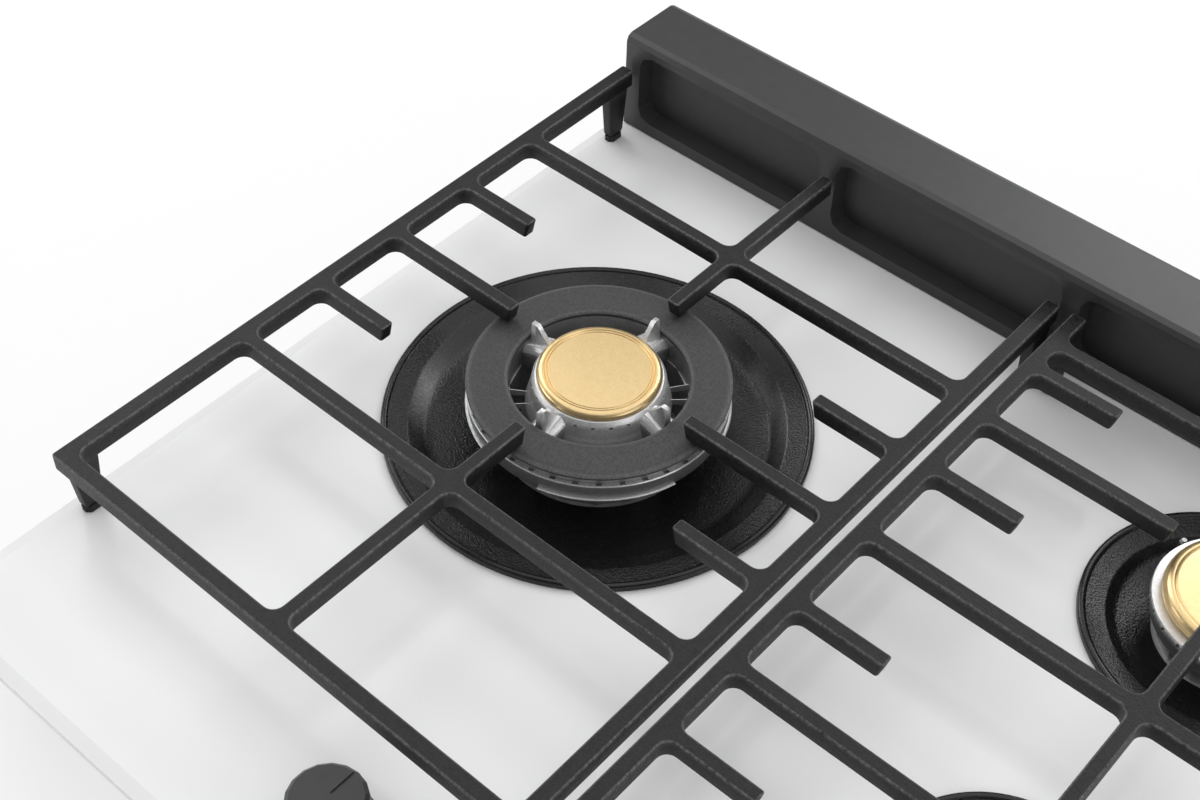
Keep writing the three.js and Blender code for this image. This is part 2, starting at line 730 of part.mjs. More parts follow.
function wokHead() {
  const bottom = glassTop + wokRingBottom;
  const top = glassTop + wokRingTop;
  const ring = turned(
    [
      [wokRingBore, bottom],
      [wokRingRadius - 0.9, bottom],
      [wokRingRadius, top - 0.5],
      [wokRingRadius - 0.5, top],
      [wokRingBore, top],
    ],
    32,
  );
  const lipTop = bottom + 1.6;
  const lip = turned(
    [
      [wokRingRadius - 4, bottom],
      [wokRingRadius + 0.8, bottom],
      [wokRingRadius + 0.8, lipTop],
      [wokRingRadius - 4, lipTop],
    ],
    32,
  );
  const lipGap = 2 * (wokRingRadius + 1) * Math.sin(THREE.MathUtils.degToRad(15));
  const lipCuts = [
    block(2 * wokRingRadius + 8, lipGap, 4, 0, 0, bottom - 1),
    block(lipGap, 2 * wokRingRadius + 8, 4, 0, 0, bottom - 1),
  ];
  const crownFloor = glassTop + wokCrownTop - 1.8;
  const crown = turned(
    [
      [0, bottom + 8],
      [wokCrownRadius - 11, bottom + 8],
      [wokCrownRadius - 5, bottom],
      [wokCrownRadius + 4.2, bottom],
      [wokCrownRadius + 1.2, glassTop + wokCrownTop - 2.4],
      [wokCrownRadius, glassTop + wokCrownTop],
      [wokInnerCapRadius - 1.8, glassTop + wokCrownTop],
      [wokInnerCapRadius - 1.8, crownFloor],
      [0, crownFloor],
    ],
    24,
  );
  const armCorners = [
    [-7.2, bottom],
    [7.2, bottom],
    [4.6, top - 0.4, 2.5],
    [-4.6, top - 0.4, 2.5],
  ];
  const armSection = rounded(armCorners, 90);
  const arm = new THREE.ExtrudeGeometry(new THREE.Shape(armSection), {
    depth: wokRingBore - wokCrownRadius + 6,
    bevelEnabled: false,
  });
  // The section's x and y become the object's Y and Z, and its depth becomes X.
  arm.rotateX(Math.PI / 2);
  arm.rotateZ(Math.PI / 2);
  arm.translate(wokCrownRadius - 4, 0, 0);
  const finCorners = [
    [wokCrownRadius - 1, glassTop + wokCrownTop - 8],
    [wokFinReach, glassTop + wokCrownTop - 8],
    [wokFinReach, glassTop + wokFinPeak, 0.8],
    [wokFinReach - 3.2, glassTop + wokFinPeak, 0.8],
    [wokCrownRadius + 1.6, glassTop + wokCrownTop - 0.8, 2],
    [wokCrownRadius - 1, glassTop + wokCrownTop - 1.6],
  ];
  const finOutline = rounded(finCorners, 90);
  const fin = new THREE.ExtrudeGeometry(new THREE.Shape(finOutline), {
    depth: 1.4,
    bevelEnabled: true,
    bevelThickness: 0.6,
    bevelSize: 0.6,
    bevelOffset: -0.6,
    bevelSegments: 1,
  });
  // The outline's x and y become the object's X and Z, and its depth becomes Y.
  fin.rotateX(Math.PI / 2);
  fin.translate(0, 0.7, 0);
  const spoke = joined(solid(arm), solid(fin));
  const spokes = [0, 90, 180, 270].map((turn) => spun(spoke, turn, 0, 0));
  const portSlot = block(6, 1.7, 3, wokRingRadius, 0, top - 1.9);
  const ports = Array.from({ length: wokPortCount }, (_, i) =>
    spun(portSlot, ((i + 0.5) * 360) / wokPortCount, 0, 0),
  );
  const bore = new THREE.CylinderGeometry(1, 1, 4, 4);
  bore.rotateZ(Math.PI / 2);
  bore.translate(wokCrownRadius + 1, 0, glassTop + wokCrownTop - 3.4);
  const crownPorts = Array.from({ length: crownPortCount }, (_, i) => ((i + 0.5) * 360) / crownPortCount)
    .filter((turn) => Math.abs((((turn + 45) % 90) + 90) % 90 - 45) > 12)
    .map((turn) => spun(solid(bore), turn, 0, 0));
  const flameRing = cutFrom(joined(ring, cutFrom(lip, ...lipCuts)), ...ports);
  return joined(flameRing, cutFrom(crown, ...crownPorts), ...spokes).translate([wokX, wokY, 0]);
}

function wokRingCap() {
  const bottom = glassTop + wokRingTop + seatGap;
  const top = bottom + wokCapThickness;
  return turned(
    [
      [wokCapHole + 0.4, bottom],
      [wokCapRadius - 1.9, bottom],
      [wokCapRadius, bottom + 1.5],
      [wokCapRadius - 0.7, top - 0.6],
      [wokCapRadius - 2.4, top],
      [wokCapHole + 1.2, top],
      [wokCapHole, top - 1.2],
    ],
    36,
    wokX,
    wokY,
  );
}

function wokInnerCap() {
  const seat = glassTop + wokCrownTop - 1.8 + seatGap;
  const rim = glassTop + wokCrownTop + seatGap;
  const top = glassTop + wokInnerCapTop;
  return turned(
    [
      [0, seat],
      [wokInnerCapRadius - 1.8 - slideGap, seat],
      [wokInnerCapRadius - 1.8 - slideGap, rim],
      [wokInnerCapRadius - 0.2, rim],
      [wokInnerCapRadius, rim + 1],
      [wokInnerCapRadius - 0.8, top - 0.8],
      [wokInnerCapRadius - 2.4, top],
      [wokInnerCapRadius - 4.1, top - 0.5],
      [0, top - 0.5],
    ],
    28,
    wokX,
    wokY,
  );
}

add("wok_burner_head", wokHead(), aluminium);
add("wok_ring_cap", wokRingCap(), blackEnamel);
add("wok_inner_cap", wokInnerCap(), goldBrass);

// ---------- Semi-rapid and auxiliary burners ----------

function singleHead({ x, y, radius, cupRadius, slots }) {
  const bottom = glassTop + singleHeadBottom;
  const top = glassTop + singleHeadTop;
  const head = turned(
    [
      [0, bottom + 4],
      [cupRadius - 2.7 - slideGap, bottom + 4],
      [cupRadius - 2.7 - slideGap, bottom],
      [radius - 3.5, bottom],
      [radius - 2, bottom + 1.5],
      [radius - 1.2, top - 6],
      [radius, top - 4.6],
      [radius, top],
      [0, top],
    ],
    20,
  );
  const slot = block(7, 1.7, 4, radius, 0, top - 3);
  const cuts = Array.from({ length: slots }, (_, i) => spun(slot, ((i + 0.5) * 360) / slots, 0, 0));
  return cutFrom(head, ...cuts).translate([x, y, 0]);
}

function singleCap({ x, y, capRadius: radius }) {
  const bottom = glassTop + singleHeadTop + seatGap;
  const top = glassTop + singleCapTop;
  return turned(
    [
      [0, bottom],
      [radius - 2, bottom],
      [radius - 0.6, bottom + 1.4],
      [radius, bottom + 2.6],
      [radius - 0.6, top - 2.2],
      [radius - 2.2, top - 0.8],
      [radius - 4.5, top],
      [0, top],
    ],
    22,
    x,
    y,
  );
}

const singles = [
  {
    name: "semi_rapid",
    y: semiY,
    radius: semiHeadRadius,
    capRadius: semiCapRadius,
    cupRadius: semiCupRadius,
    slots: semiSlotCount,
  },
  {
    name: "auxiliary",
    y: auxY,
    radius: auxHeadRadius,
    capRadius: auxCapRadius,
    cupRadius: auxCupRadius,
    slots: auxSlotCount,
  },
];
for (const { name, ...sizes } of singles) {
  add(`${name}_burner_head`, singleHead({ x: grateSpread, ...sizes }), aluminium);
  add(`${name}_cap`, singleCap({ x: grateSpread, ...sizes }), goldBrass);
}

// ---------- Pan supports ----------

// The outer outline of a pan support: a frame at the front and both sides, with the side bars and
// the centre bar carried on as tails behind the back cross bar.
function supportOutline(backBar) {
  const centre = fingerWidth / 2;
  return rounded([
    [-halfGrate, -grateFront, 4],
    [halfGrate, -grateFront, 4],
    [halfGrate, grateBack, 1.2],
    [barInside, grateBack, 1.2],
    [barInside, backBar, grateFillet],
    [centre, backBar, grateFillet],
    [centre, grateBack, 1.2],
    [-centre, grateBack, 1.2],
    [-centre, backBar, grateFillet],
    [-barInside, backBar, grateFillet],
    [-barInside, grateBack, 1.2],
    [-halfGrate, grateBack, 1.2],
  ]);
}

const mirroredFingers = (list) => ({
  left: list.map(({ at, tip }) => ({ at, tip: -tip })),
  right: list,
});

function leftWindows() {
  const [halfCross, halfCentre] = [crossBarWidth / 2, fingerWidth / 2];
  const near = crossBarOffset - halfCross;
  const middle = window(-barInside, barInside, -near, near, {
    ...mirroredFingers([
      { at: 0, tip: wokFingerTip },
      { at: -shortFingerOffset, tip: shortFingerTip },
      { at: shortFingerOffset, tip: shortFingerTip },
    ]),
    front: [{ at: 0, tip: -wokFingerTip }],
    back: [{ at: 0, tip: wokFingerTip }],
  });
  const far = -(crossBarOffset + halfCross);
  const front = -grateFront + frameBarWidth;
  return [
    middle,
    window(-barInside, -halfCentre, front, far, {}),
    window(halfCentre, barInside, front, far, {}),
  ];
}

function rightWindows() {
  const bridge = rightBridgeOffset;
  const half = frameBarWidth / 2;
  const sideFingers = (centre, tip) =>
    mirroredFingers([
      { at: centre, tip },
      { at: centre - rightShortPitch, tip: shortFingerTip },
      { at: centre + rightShortPitch, tip: shortFingerTip },
    ]);
  const [semi, aux] = [semiRow, auxRow];
  const back = rightBackBar - crossBarWidth / 2;
  return [
    window(-barInside, barInside, bridge + half, back, {
      ...sideFingers(semi, semiTipGap),
      front: [{ at: 0, tip: semi - semiTipGap }],
      back: [{ at: 0, tip: semi + semiTipGap }],
    }),
    window(-barInside, barInside, -grateFront + frameBarWidth, bridge - half, {
      ...sideFingers(aux, auxTipGap),
      front: [{ at: 0, tip: aux - auxTipGap }],
      back: [{ at: 0, tip: aux + auxTipGap }],
    }),
  ];
}

const legX = halfGrate - frameBarWidth / 2;
const legPlaces = [
  { name: "front_left", x: -legX, y: -grateFront + legFromFront },
  { name: "front_right", x: legX, y: -grateFront + legFromFront },
  { name: "rear_left", x: -legX, y: grateBack - legFromBack },
  { name: "rear_right", x: legX, y: grateBack - legFromBack },
];

function panSupport(outline, windows) {
  const bars = raised(outline, barBottom, grateTop, { holes: windows, edge: grateEdgeRound });
  const toe = glassTop + 2 * seatGap + footHeight;
  const width = frameBarWidth - 2 * grateEdgeRound;
  const legs = legPlaces.map(({ x, y }) =>
    lofted([
      { points: rectangle(width - 0.8, legToeLength, 0.8, x, y), z: toe },
      { points: rectangle(width, legLength, 0.8, x, y), z: barBottom + 2 },
    ]),
  );
  return joined(bars, ...legs);
}

const supports = [
  {
    name: "left",
    x: -grateSpread,
    body: panSupport(supportOutline(crossBarOffset + crossBarWidth / 2), leftWindows()),
  },
  {
    name: "right",
    x: grateSpread,
    body: panSupport(
      supportOutline(rightBackBar + crossBarWidth / 2),
      rightWindows(),
    ),
  },
];

for (const { name, x, body } of supports) {
  const group = new THREE.Group();
  group.position.set(x, grateY, 0);
  hob.add(group);
  add(`${name}_pan_support`, body, castIron, group);
  for (const place of legPlaces) {
    const sole = rectangle(frameBarWidth - 1, legToeLength, footRound, place.x, place.y, 90);
    const bottom = glassTop + seatGap;
    const foot = raised(sole, bottom, bottom + footHeight);
    add(`${name}_support_foot_${place.name}`, foot, blackRubber, group);
  }
}

// ---------- Gas train: manifold, valves and feed pipes ----------

function gasManifold() {
  const tube = new THREE.CylinderGeometry(
    manifoldRadius,
    manifoldRadius,
    manifoldRight - manifoldLeft,
    16,
  );
  tube.rotateZ(Math.PI / 2);
  tube.translate((manifoldLeft + manifoldRight) / 2, manifoldY, manifoldZ);
  const plugRadius = manifoldRadius + 1.5;
  const plug = new THREE.CylinderGeometry(plugRadius, plugRadius, manifoldPlugLength, 6);
  plug.rotateZ(Math.PI / 2);
  plug.translate(manifoldLeft + manifoldPlugLap, manifoldY, manifoldZ);
  return joined(solid(tube), solid(plug));
}

add("gas_manifold", gasManifold(), steel);

for (const [side, x] of [
  ["left", -knobPitch - leftBracketFromKnob],
  ["right", knobPitch + rightBracketFromKnob],
]) {
  const bottom = boxWall + seatGap;
  const saddle = new THREE.CylinderGeometry(
    manifoldRadius + seatGap,
    manifoldRadius + seatGap,
    2 * bracketWidth,
    16,
  );
  saddle.rotateZ(Math.PI / 2);
  saddle.translate(x, manifoldY, manifoldZ);
  const foot = block(bracketWidth, bracketDepth, manifoldZ - bottom - 2, x, manifoldY, bottom);
  add(`manifold_bracket_${side}`, cutFrom(foot, solid(saddle)), steel);
}

const knobOf = (name) => knobs[valveOrder[name]];
const valveBack = knobY + valveDepth / 2;
const neckTop = valveTop + valveNeckHeight;

for (const { name, x: burnerX, y: burnerY } of burners) {
  const { x } = knobOf(name);
  const casting = raised(
    rectangle(valveWidth, valveDepth, 0, x, knobY),
    valveBottom,
    valveTop,
    { edge: 0.8 },
  );
  const neck = rod(valveNeckRadius, valveTop - 2, neckTop, x, knobY, 12);
  const boss = rodAlongY(
    manifoldRadius - 2,
    valveBack - 2,
    manifoldY - manifoldRadius - seatGap,
    x,
    manifoldZ,
    10,
  );
  const bore = rod(spindleRadius + slideGap, neckTop - 14, neckTop + 1, x, knobY, 12);
  add(`${name}_gas_valve`, cutFrom(joined(casting, neck, boss), bore), brass);

  const fall = burnerY < 0 ? 20 : 60;
  const route = [
    [x, valveBack + seatGap, pipeOutletZ],
    [x, manifoldY + 2 * manifoldRadius + 6, pipeOutletZ],
    [burnerX, burnerY - cupPostRadius - fall, injectorZ],
    [burnerX, burnerY - cupPostRadius - seatGap, injectorZ],
  ];
  add(`${name}_feed_pipe`, pipe(route, pipeRadius, 8), aluminium);
}

const inletPipe = pipe(
  [
    [manifoldRight + seatGap, manifoldY, manifoldZ],
    [inletX, manifoldY, manifoldZ],
    [inletX, inletNutStart - seatGap, manifoldZ],
  ],
  inletPipeRadius,
  inletBend,
);
add("inlet_pipe", inletPipe, steel);

const inletNut = rodAlongY(
  inletNutRadius,
  inletNutStart,
  inletNutEnd,
  inletX,
  manifoldZ,
  6,
);
const inletThread = rodAlongY(
  inletRadius,
  inletNutStart + inletNutStep,
  boxDepth / 2 + inletReach,
  inletX,
  manifoldZ,
  24,
);
add("gas_inlet_fitting", joined(inletNut, inletThread), brass);

// ---------- Spark generator ----------

function sparkGenerator() {
  const bottom = boxWall + seatGap;
  const caseBody = raised(
    rectangle(igniterWidth, igniterDepth, 0, 0, igniterY),
    bottom,
    bottom + igniterHeight,
    { edge: 1 },
  );
  const posts = burners.map((_, i) =>
    rod(3, bottom + igniterHeight - 1, bottom + igniterHeight + 7, (i - 1) * 20, igniterY, 8),
  );
  return joined(caseBody, ...posts);
}

add("spark_generator", sparkGenerator(), blackPlastic);

// ---------- Knobs, spindles and their spring collars ----------

const knobBottom = glassTop + knobStandOff;
const spindleTop = glassTop + spindleAboveGlass;
const spindleBottom = neckTop - 14 + pushTravel + slideGap;
const collarBottom = neckTop + pushTravel + slideGap;

function knobBody(x) {
  const top = knobBottom + knobHeight;
  const body = turned(
    [
      [0, knobBottom],
      [knobRadius - 0.8, knobBottom],
      [knobRadius, knobBottom + 0.8],
      [knobRadius, knobBottom + 3],
      [knobRadius - 1.4, knobBottom + 4.2],
      [knobRadius - 2.6, top - 2],
      [knobRadius - 4.4, top],
      [0, top],
    ],
    18,
    x,
    knobY,
  );
  const bore = rod(spindleRadius + slideGap, knobBottom - 1, spindleTop + slideGap, x, knobY, 12);
  const pointer = block(1.4, knobRadius - 5, 3, x, knobY + knobRadius / 2, top - 0.8);
  return cutFrom(body, bore, pointer);
}

for (const { name, x } of knobs) {
  const shaft = rod(spindleRadius, spindleBottom, spindleTop, x, knobY, 12);
  const flat = block(
    2 * spindleRadius,
    4 * spindleRadius,
    spindleAboveGlass,
    x + spindleFlat + spindleRadius,
    knobY,
    glassTop + knobStandOff,
  );
  add(`${name}_spindle`, cutFrom(shaft, flat), brass);
  const collar = turned(
    [
      [spindleRadius + slideGap, collarBottom],
      [collarRadius, collarBottom],
      [collarRadius, collarBottom + collarHeight - 2],
      [collarRadius - 2, collarBottom + collarHeight],
      [spindleRadius + slideGap, collarBottom + collarHeight],
    ],
    10,
    x,
    knobY,
  );
  add(`${name}_spring_collar`, collar, steel);
  add(`${name}_knob`, knobBody(x), blackPlastic);
}

export default hob;
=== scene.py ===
# A built-in gas hob with a white glass top, a double-ring wok burner, two smaller burners and
# cast-iron pan supports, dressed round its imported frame. Pieces are modelled in millimetres and
# placed in metres.

from math import atan2, pi, radians

import bmesh
import bpy
from mathutils import Matrix, Vector


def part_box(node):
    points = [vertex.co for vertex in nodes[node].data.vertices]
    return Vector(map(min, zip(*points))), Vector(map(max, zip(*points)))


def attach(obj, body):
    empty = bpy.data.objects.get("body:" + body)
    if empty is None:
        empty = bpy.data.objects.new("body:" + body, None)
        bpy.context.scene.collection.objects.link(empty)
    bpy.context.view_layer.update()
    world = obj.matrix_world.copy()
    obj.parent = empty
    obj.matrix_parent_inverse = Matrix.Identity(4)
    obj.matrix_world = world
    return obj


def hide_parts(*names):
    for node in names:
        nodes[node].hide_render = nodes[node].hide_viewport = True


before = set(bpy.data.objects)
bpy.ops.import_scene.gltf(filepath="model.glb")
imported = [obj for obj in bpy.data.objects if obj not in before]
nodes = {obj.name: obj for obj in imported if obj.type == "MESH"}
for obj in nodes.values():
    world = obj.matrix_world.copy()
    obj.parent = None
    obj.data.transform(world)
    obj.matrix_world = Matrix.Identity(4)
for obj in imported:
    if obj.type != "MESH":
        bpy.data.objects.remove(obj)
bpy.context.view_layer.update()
scene = bpy.context.scene
scene.view_settings.view_transform = "Standard"


# ---- The camera and the studio ----
# A long-lens product view from the hob's right front, over the wok burner. A pale floor, one wide
# soft light overhead, two behind the hob's left and weak ones at the front left and the right.

degrees_right = 39.83
degrees_above = 47.07
degrees_rolled = 2.0
turn_about_z = Matrix.Rotation(radians(degrees_right), 4, "Z")
tilt_down = Matrix.Rotation(radians(90 - degrees_above), 4, "X")
roll = Matrix.Rotation(radians(degrees_rolled), 4, "Z")
camera_data = bpy.data.cameras.new("camera")
camera_data.lens = 55.17
camera_data.clip_end = 20
camera = bpy.data.objects.new("camera", camera_data)
camera.matrix_world = (
    Matrix.Translation((0.23925, -0.4317, 0.7139)) @ turn_about_z @ tilt_down @ roll
)
scene.collection.objects.link(camera)
scene.camera = camera

world = bpy.data.worlds.new("studio")
world.use_nodes = True
scene.world = world
sky = world.node_tree.nodes
sky_links = world.node_tree.links
sky["Background"].inputs["Color"].default_value = (1, 1, 1, 1)
sky["Background"].inputs["Strength"].default_value = 0.42
shown_sky = sky.new("ShaderNodeBackground")
shown_sky.inputs["Color"].default_value = (1, 1, 1, 1)
shown_sky.inputs["Strength"].default_value = 1.0
ray = sky.new("ShaderNodeLightPath")
seen = sky.new("ShaderNodeMath")
seen.operation = "MAXIMUM"
sky_links.new(ray.outputs["Is Camera Ray"], seen.inputs[0])
sky_links.new(ray.outputs["Is Transmission Ray"], seen.inputs[1])
# Polished pieces mirror the white backdrop low down and the dim ceiling of the studio above it.
direction = sky.new("ShaderNodeTexCoord")
upward = sky.new("ShaderNodeSeparateXYZ")
backdrop = sky.new("ShaderNodeMapRange")
backdrop.inputs["From Min"].default_value = 0.0
backdrop.inputs["From Max"].default_value = 0.25
backdrop.inputs["To Min"].default_value = 1.0
backdrop.inputs["To Max"].default_value = 0.0
mirrored = sky.new("ShaderNodeMath")
mirrored.operation = "MULTIPLY"
sky_links.new(direction.outputs["Generated"], upward.inputs[0])
sky_links.new(upward.outputs["Z"], backdrop.inputs["Value"])
sky_links.new(backdrop.outputs["Result"], mirrored.inputs[0])
sky_links.new(ray.outputs["Is Glossy Ray"], mirrored.inputs[1])
shown = sky.new("ShaderNodeMath")
shown.operation = "MAXIMUM"
sky_links.new(seen.outputs[0], shown.inputs[0])
sky_links.new(mirrored.outputs[0], shown.inputs[1])
dim_sky = sky.new("ShaderNodeBackground")
dim_sky.inputs["Color"].default_value = (1, 1, 1, 1)
dim_sky.inputs["Strength"].default_value = 0.12
ceiling = sky.new("ShaderNodeMixShader")
sky_links.new(ray.outputs["Is Glossy Ray"], ceiling.inputs[0])
sky_links.new(sky["Background"].outputs[0], ceiling.inputs[1])
sky_links.new(dim_sky.outputs[0], ceiling.inputs[2])
either = sky.new("ShaderNodeMixShader")
sky_links.new(shown.outputs[0], either.inputs[0])
sky_links.new(ceiling.outputs[0], either.inputs[1])
sky_links.new(shown_sky.outputs[0], either.inputs[2])
sky_links.new(either.outputs[0], sky["World Output"].inputs["Surface"])


def soft_light(name, place, target, size, power):
    data = bpy.data.lights.new(name, "AREA")
    data.shape = "RECTANGLE"
    data.size, data.size_y = size
    data.energy = power
    light = bpy.data.objects.new(name, data)
    aim = (Vector(target) - Vector(place)).to_track_quat("-Z", "Y")
    light.matrix_world = Matrix.Translation(place) @ aim.to_matrix().to_4x4()
    scene.collection.objects.link(light)


soft_light("overhead_softbox", (-0.2, 0.35, 1.9), (0, 0, 0.06), (3.0, 3.0), 28)
soft_light("left_softbox", (-1.6, 0.38, 1.15), (-0.1, 0, 0.06), (0.9, 0.5), 8)
soft_light("back_softbox", (-0.15, 1.65, 1.15), (-0.1, 0, 0.06), (0.9, 0.5), 8)
soft_light("front_left_fill", (-1.5, -0.9, 0.5), (-0.1, 0, 0.06), (0.9, 0.5), 5)
soft_light("right_fill", (1.9, 0.1, 0.9), (0, 0, 0.06), (1.4, 1.0), 9)

floor_mesh = bmesh.new()
bmesh.ops.create_grid(floor_mesh, x_segments=1, y_segments=1, size=4)
floor_data = bpy.data.meshes.new("floor")
floor_mesh.to_mesh(floor_data)
floor = bpy.data.objects.new("floor", floor_data)
floor.location.z = -0.0005
scene.collection.objects.link(floor)
floor_paint = bpy.data.materials.new("studio_floor")
floor_paint.use_nodes = True
tree = floor_paint.node_tree
tree.nodes["Principled BSDF"].inputs["Base Color"].default_value = (0.8, 0.8, 0.8, 1)
tree.nodes["Principled BSDF"].inputs["Roughness"].default_value = 0.9
glow = tree.nodes.new("ShaderNodeEmission")
glow.inputs["Color"].default_value = (1, 1, 1, 1)
ray = tree.nodes.new("ShaderNodeLightPath")
seen = tree.nodes.new("ShaderNodeMath")
seen.operation = "MAXIMUM"
mirrored = tree.nodes.new("ShaderNodeMath")
mirrored.operation = "MAXIMUM"
part_glow = tree.nodes.new("ShaderNodeMath")
part_glow.operation = "MULTIPLY"
part_glow.inputs[1].default_value = 0.72
mixed = tree.nodes.new("ShaderNodeMixShader")
tree.links.new(ray.outputs["Is Camera Ray"], seen.inputs[0])
tree.links.new(ray.outputs["Is Transmission Ray"], seen.inputs[1])
tree.links.new(seen.outputs[0], mirrored.inputs[0])
tree.links.new(ray.outputs["Is Glossy Ray"], mirrored.inputs[1])
tree.links.new(mirrored.outputs[0], part_glow.inputs[0])
tree.links.new(part_glow.outputs[0], mixed.inputs[0])
tree.links.new(tree.nodes["Principled BSDF"].outputs[0], mixed.inputs[1])
tree.links.new(glow.outputs[0], mixed.inputs[2])
tree.links.new(mixed.outputs[0], tree.nodes["Material Output"].inputs["Surface"])
floor_data.materials.append(floor_paint)


# ---- Pan supports ----
# Two cast-iron grids in matte black enamel. Each has a frame bar at the front and both sides,
# cross bars, fingers that reach in over the burners, and rubber feet under four short legs.

# Two sizes of soft noise that the cast, enamelled and moulded finishes share.
grain = bpy.data.node_groups.new("surface_grain", "ShaderNodeTree")
for name, kind, where in [
    ("Vector", "NodeSocketVector", "INPUT"),
    ("Fine", "NodeSocketFloat", "INPUT"),
    ("Coarse", "NodeSocketFloat", "INPUT"),
    ("Fine Share", "NodeSocketFloat", "INPUT"),
    ("Height", "NodeSocketFloat", "OUTPUT"),
    ("Mottle", "NodeSocketFloat", "OUTPUT"),
    ("Speckle", "NodeSocketFloat", "OUTPUT"),
]:
    grain.interface.new_socket(name=name, in_out=where, socket_type=kind)
group_in = grain.nodes.new("NodeGroupInput")
group_out = grain.nodes.new("NodeGroupOutput")
fine = grain.nodes.new("ShaderNodeTexNoise")
coarse = grain.nodes.new("ShaderNodeTexNoise")
fine.inputs["Detail"].default_value = 3
coarse.inputs["Detail"].default_value = 2
blend = grain.nodes.new("ShaderNodeMix")
for noise, scale in ((fine, "Fine"), (coarse, "Coarse")):
    grain.links.new(group_in.outputs["Vector"], noise.inputs["Vector"])
    grain.links.new(group_in.outputs[scale], noise.inputs["Scale"])
grain.links.new(group_in.outputs["Fine Share"], blend.inputs["Factor"])
grain.links.new(coarse.outputs["Fac"], blend.inputs["A"])
grain.links.new(fine.outputs["Fac"], blend.inputs["B"])
grain.links.new(blend.outputs["Result"], group_out.inputs["Height"])
grain.links.new(coarse.outputs["Fac"], group_out.inputs["Mottle"])
grain.links.new(fine.outputs["Fac"], group_out.inputs["Speckle"])


def grained(
    name,
    dark,
    light,
    rough,
    fine_size,
    coarse_size,
    share,
    bump,
    metal=0.0,
    mottled=False,
    shine=0.5,
):
    """A finish whose colour and gloss vary with its grain. Sizes and bump height are in mm."""
    material = bpy.data.materials.new(name)
    material.use_nodes = True
    tree = material.node_tree
    shader = tree.nodes["Principled BSDF"]
    shader.inputs["Metallic"].default_value = metal
    shader.inputs["Specular IOR Level"].default_value = shine
    place = tree.nodes.new("ShaderNodeTexCoord")
    pattern = tree.nodes.new("ShaderNodeGroup")
    pattern.node_tree = grain
    pattern.inputs["Fine"].default_value = 1000 / fine_size
    pattern.inputs["Coarse"].default_value = 1000 / coarse_size
    pattern.inputs["Fine Share"].default_value = share
    tree.links.new(place.outputs["Object"], pattern.inputs["Vector"])
    spread = tree.nodes.new("ShaderNodeValToRGB")
    spread.color_ramp.elements[0].position = 0.3
    spread.color_ramp.elements[0].color = (*dark, 1)
    spread.color_ramp.elements[1].position = 0.7
    spread.color_ramp.elements[1].color = (*light, 1)
    tree.links.new(pattern.outputs["Mottle" if mottled else "Height"], spread.inputs[0])
    tree.links.new(spread.outputs[0], shader.inputs["Base Color"])
    gloss = tree.nodes.new("ShaderNodeMapRange")
    gloss.inputs["From Min"].default_value = 0.3
    gloss.inputs["From Max"].default_value = 0.7
    gloss.inputs["To Min"].default_value = rough[0]
    gloss.inputs["To Max"].default_value = rough[1]
    tree.links.new(pattern.outputs["Speckle"], gloss.inputs["Value"])
    tree.links.new(gloss.outputs["Result"], shader.inputs["Roughness"])
    relief = tree.nodes.new("ShaderNodeBump")
    relief.inputs["Distance"].default_value = bump / 1000
    relief.inputs["Strength"].default_value = 1.0
    tree.links.new(pattern.outputs["Height"], relief.inputs["Height"])
    tree.links.new(relief.outputs["Normal"], shader.inputs["Normal"])
    return material


def paint(material, *names):
    for name in names:
        mesh = nodes[name].data
        mesh.materials.clear()
        mesh.materials.append(material)


def piece(name, mesh, material, body, stands_for=(), sharp=35):
    """The finished piece from a bmesh in millimetres, on its CAD body."""
    bmesh.ops.scale(mesh, vec=(0.001, 0.001, 0.001), verts=mesh.verts)
    for face in mesh.faces:
        face.smooth = True
    for edge in mesh.edges:
        edge.smooth = edge.smooth and edge.calc_face_angle(0) < radians(sharp)
    data = bpy.data.meshes.new(name)
    mesh.to_mesh(data)
    mesh.free()
    data.materials.append(material)
    made = bpy.data.objects.new(name, data)
    scene.collection.objects.link(made)
    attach(made, body)
    if stands_for:
        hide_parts(*stands_for)
    return made


def span(node):
    """A node's lowest and highest corner, in millimetres."""
    low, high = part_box(node)
    return low * 1000, high * 1000


def middle(node):
    low, high = span(node)
    return (low.x + high.x) / 2, (low.y + high.y) / 2


def round_off(mesh, edges, radius, segments):
    bmesh.ops.bevel(
        mesh,
        geom=list(edges),
        offset=radius,
        offset_type="OFFSET",
        segments=segments,
        profile=0.5,
        affect="EDGES",
        clamp_overlap=True,
        material=-1,
    )


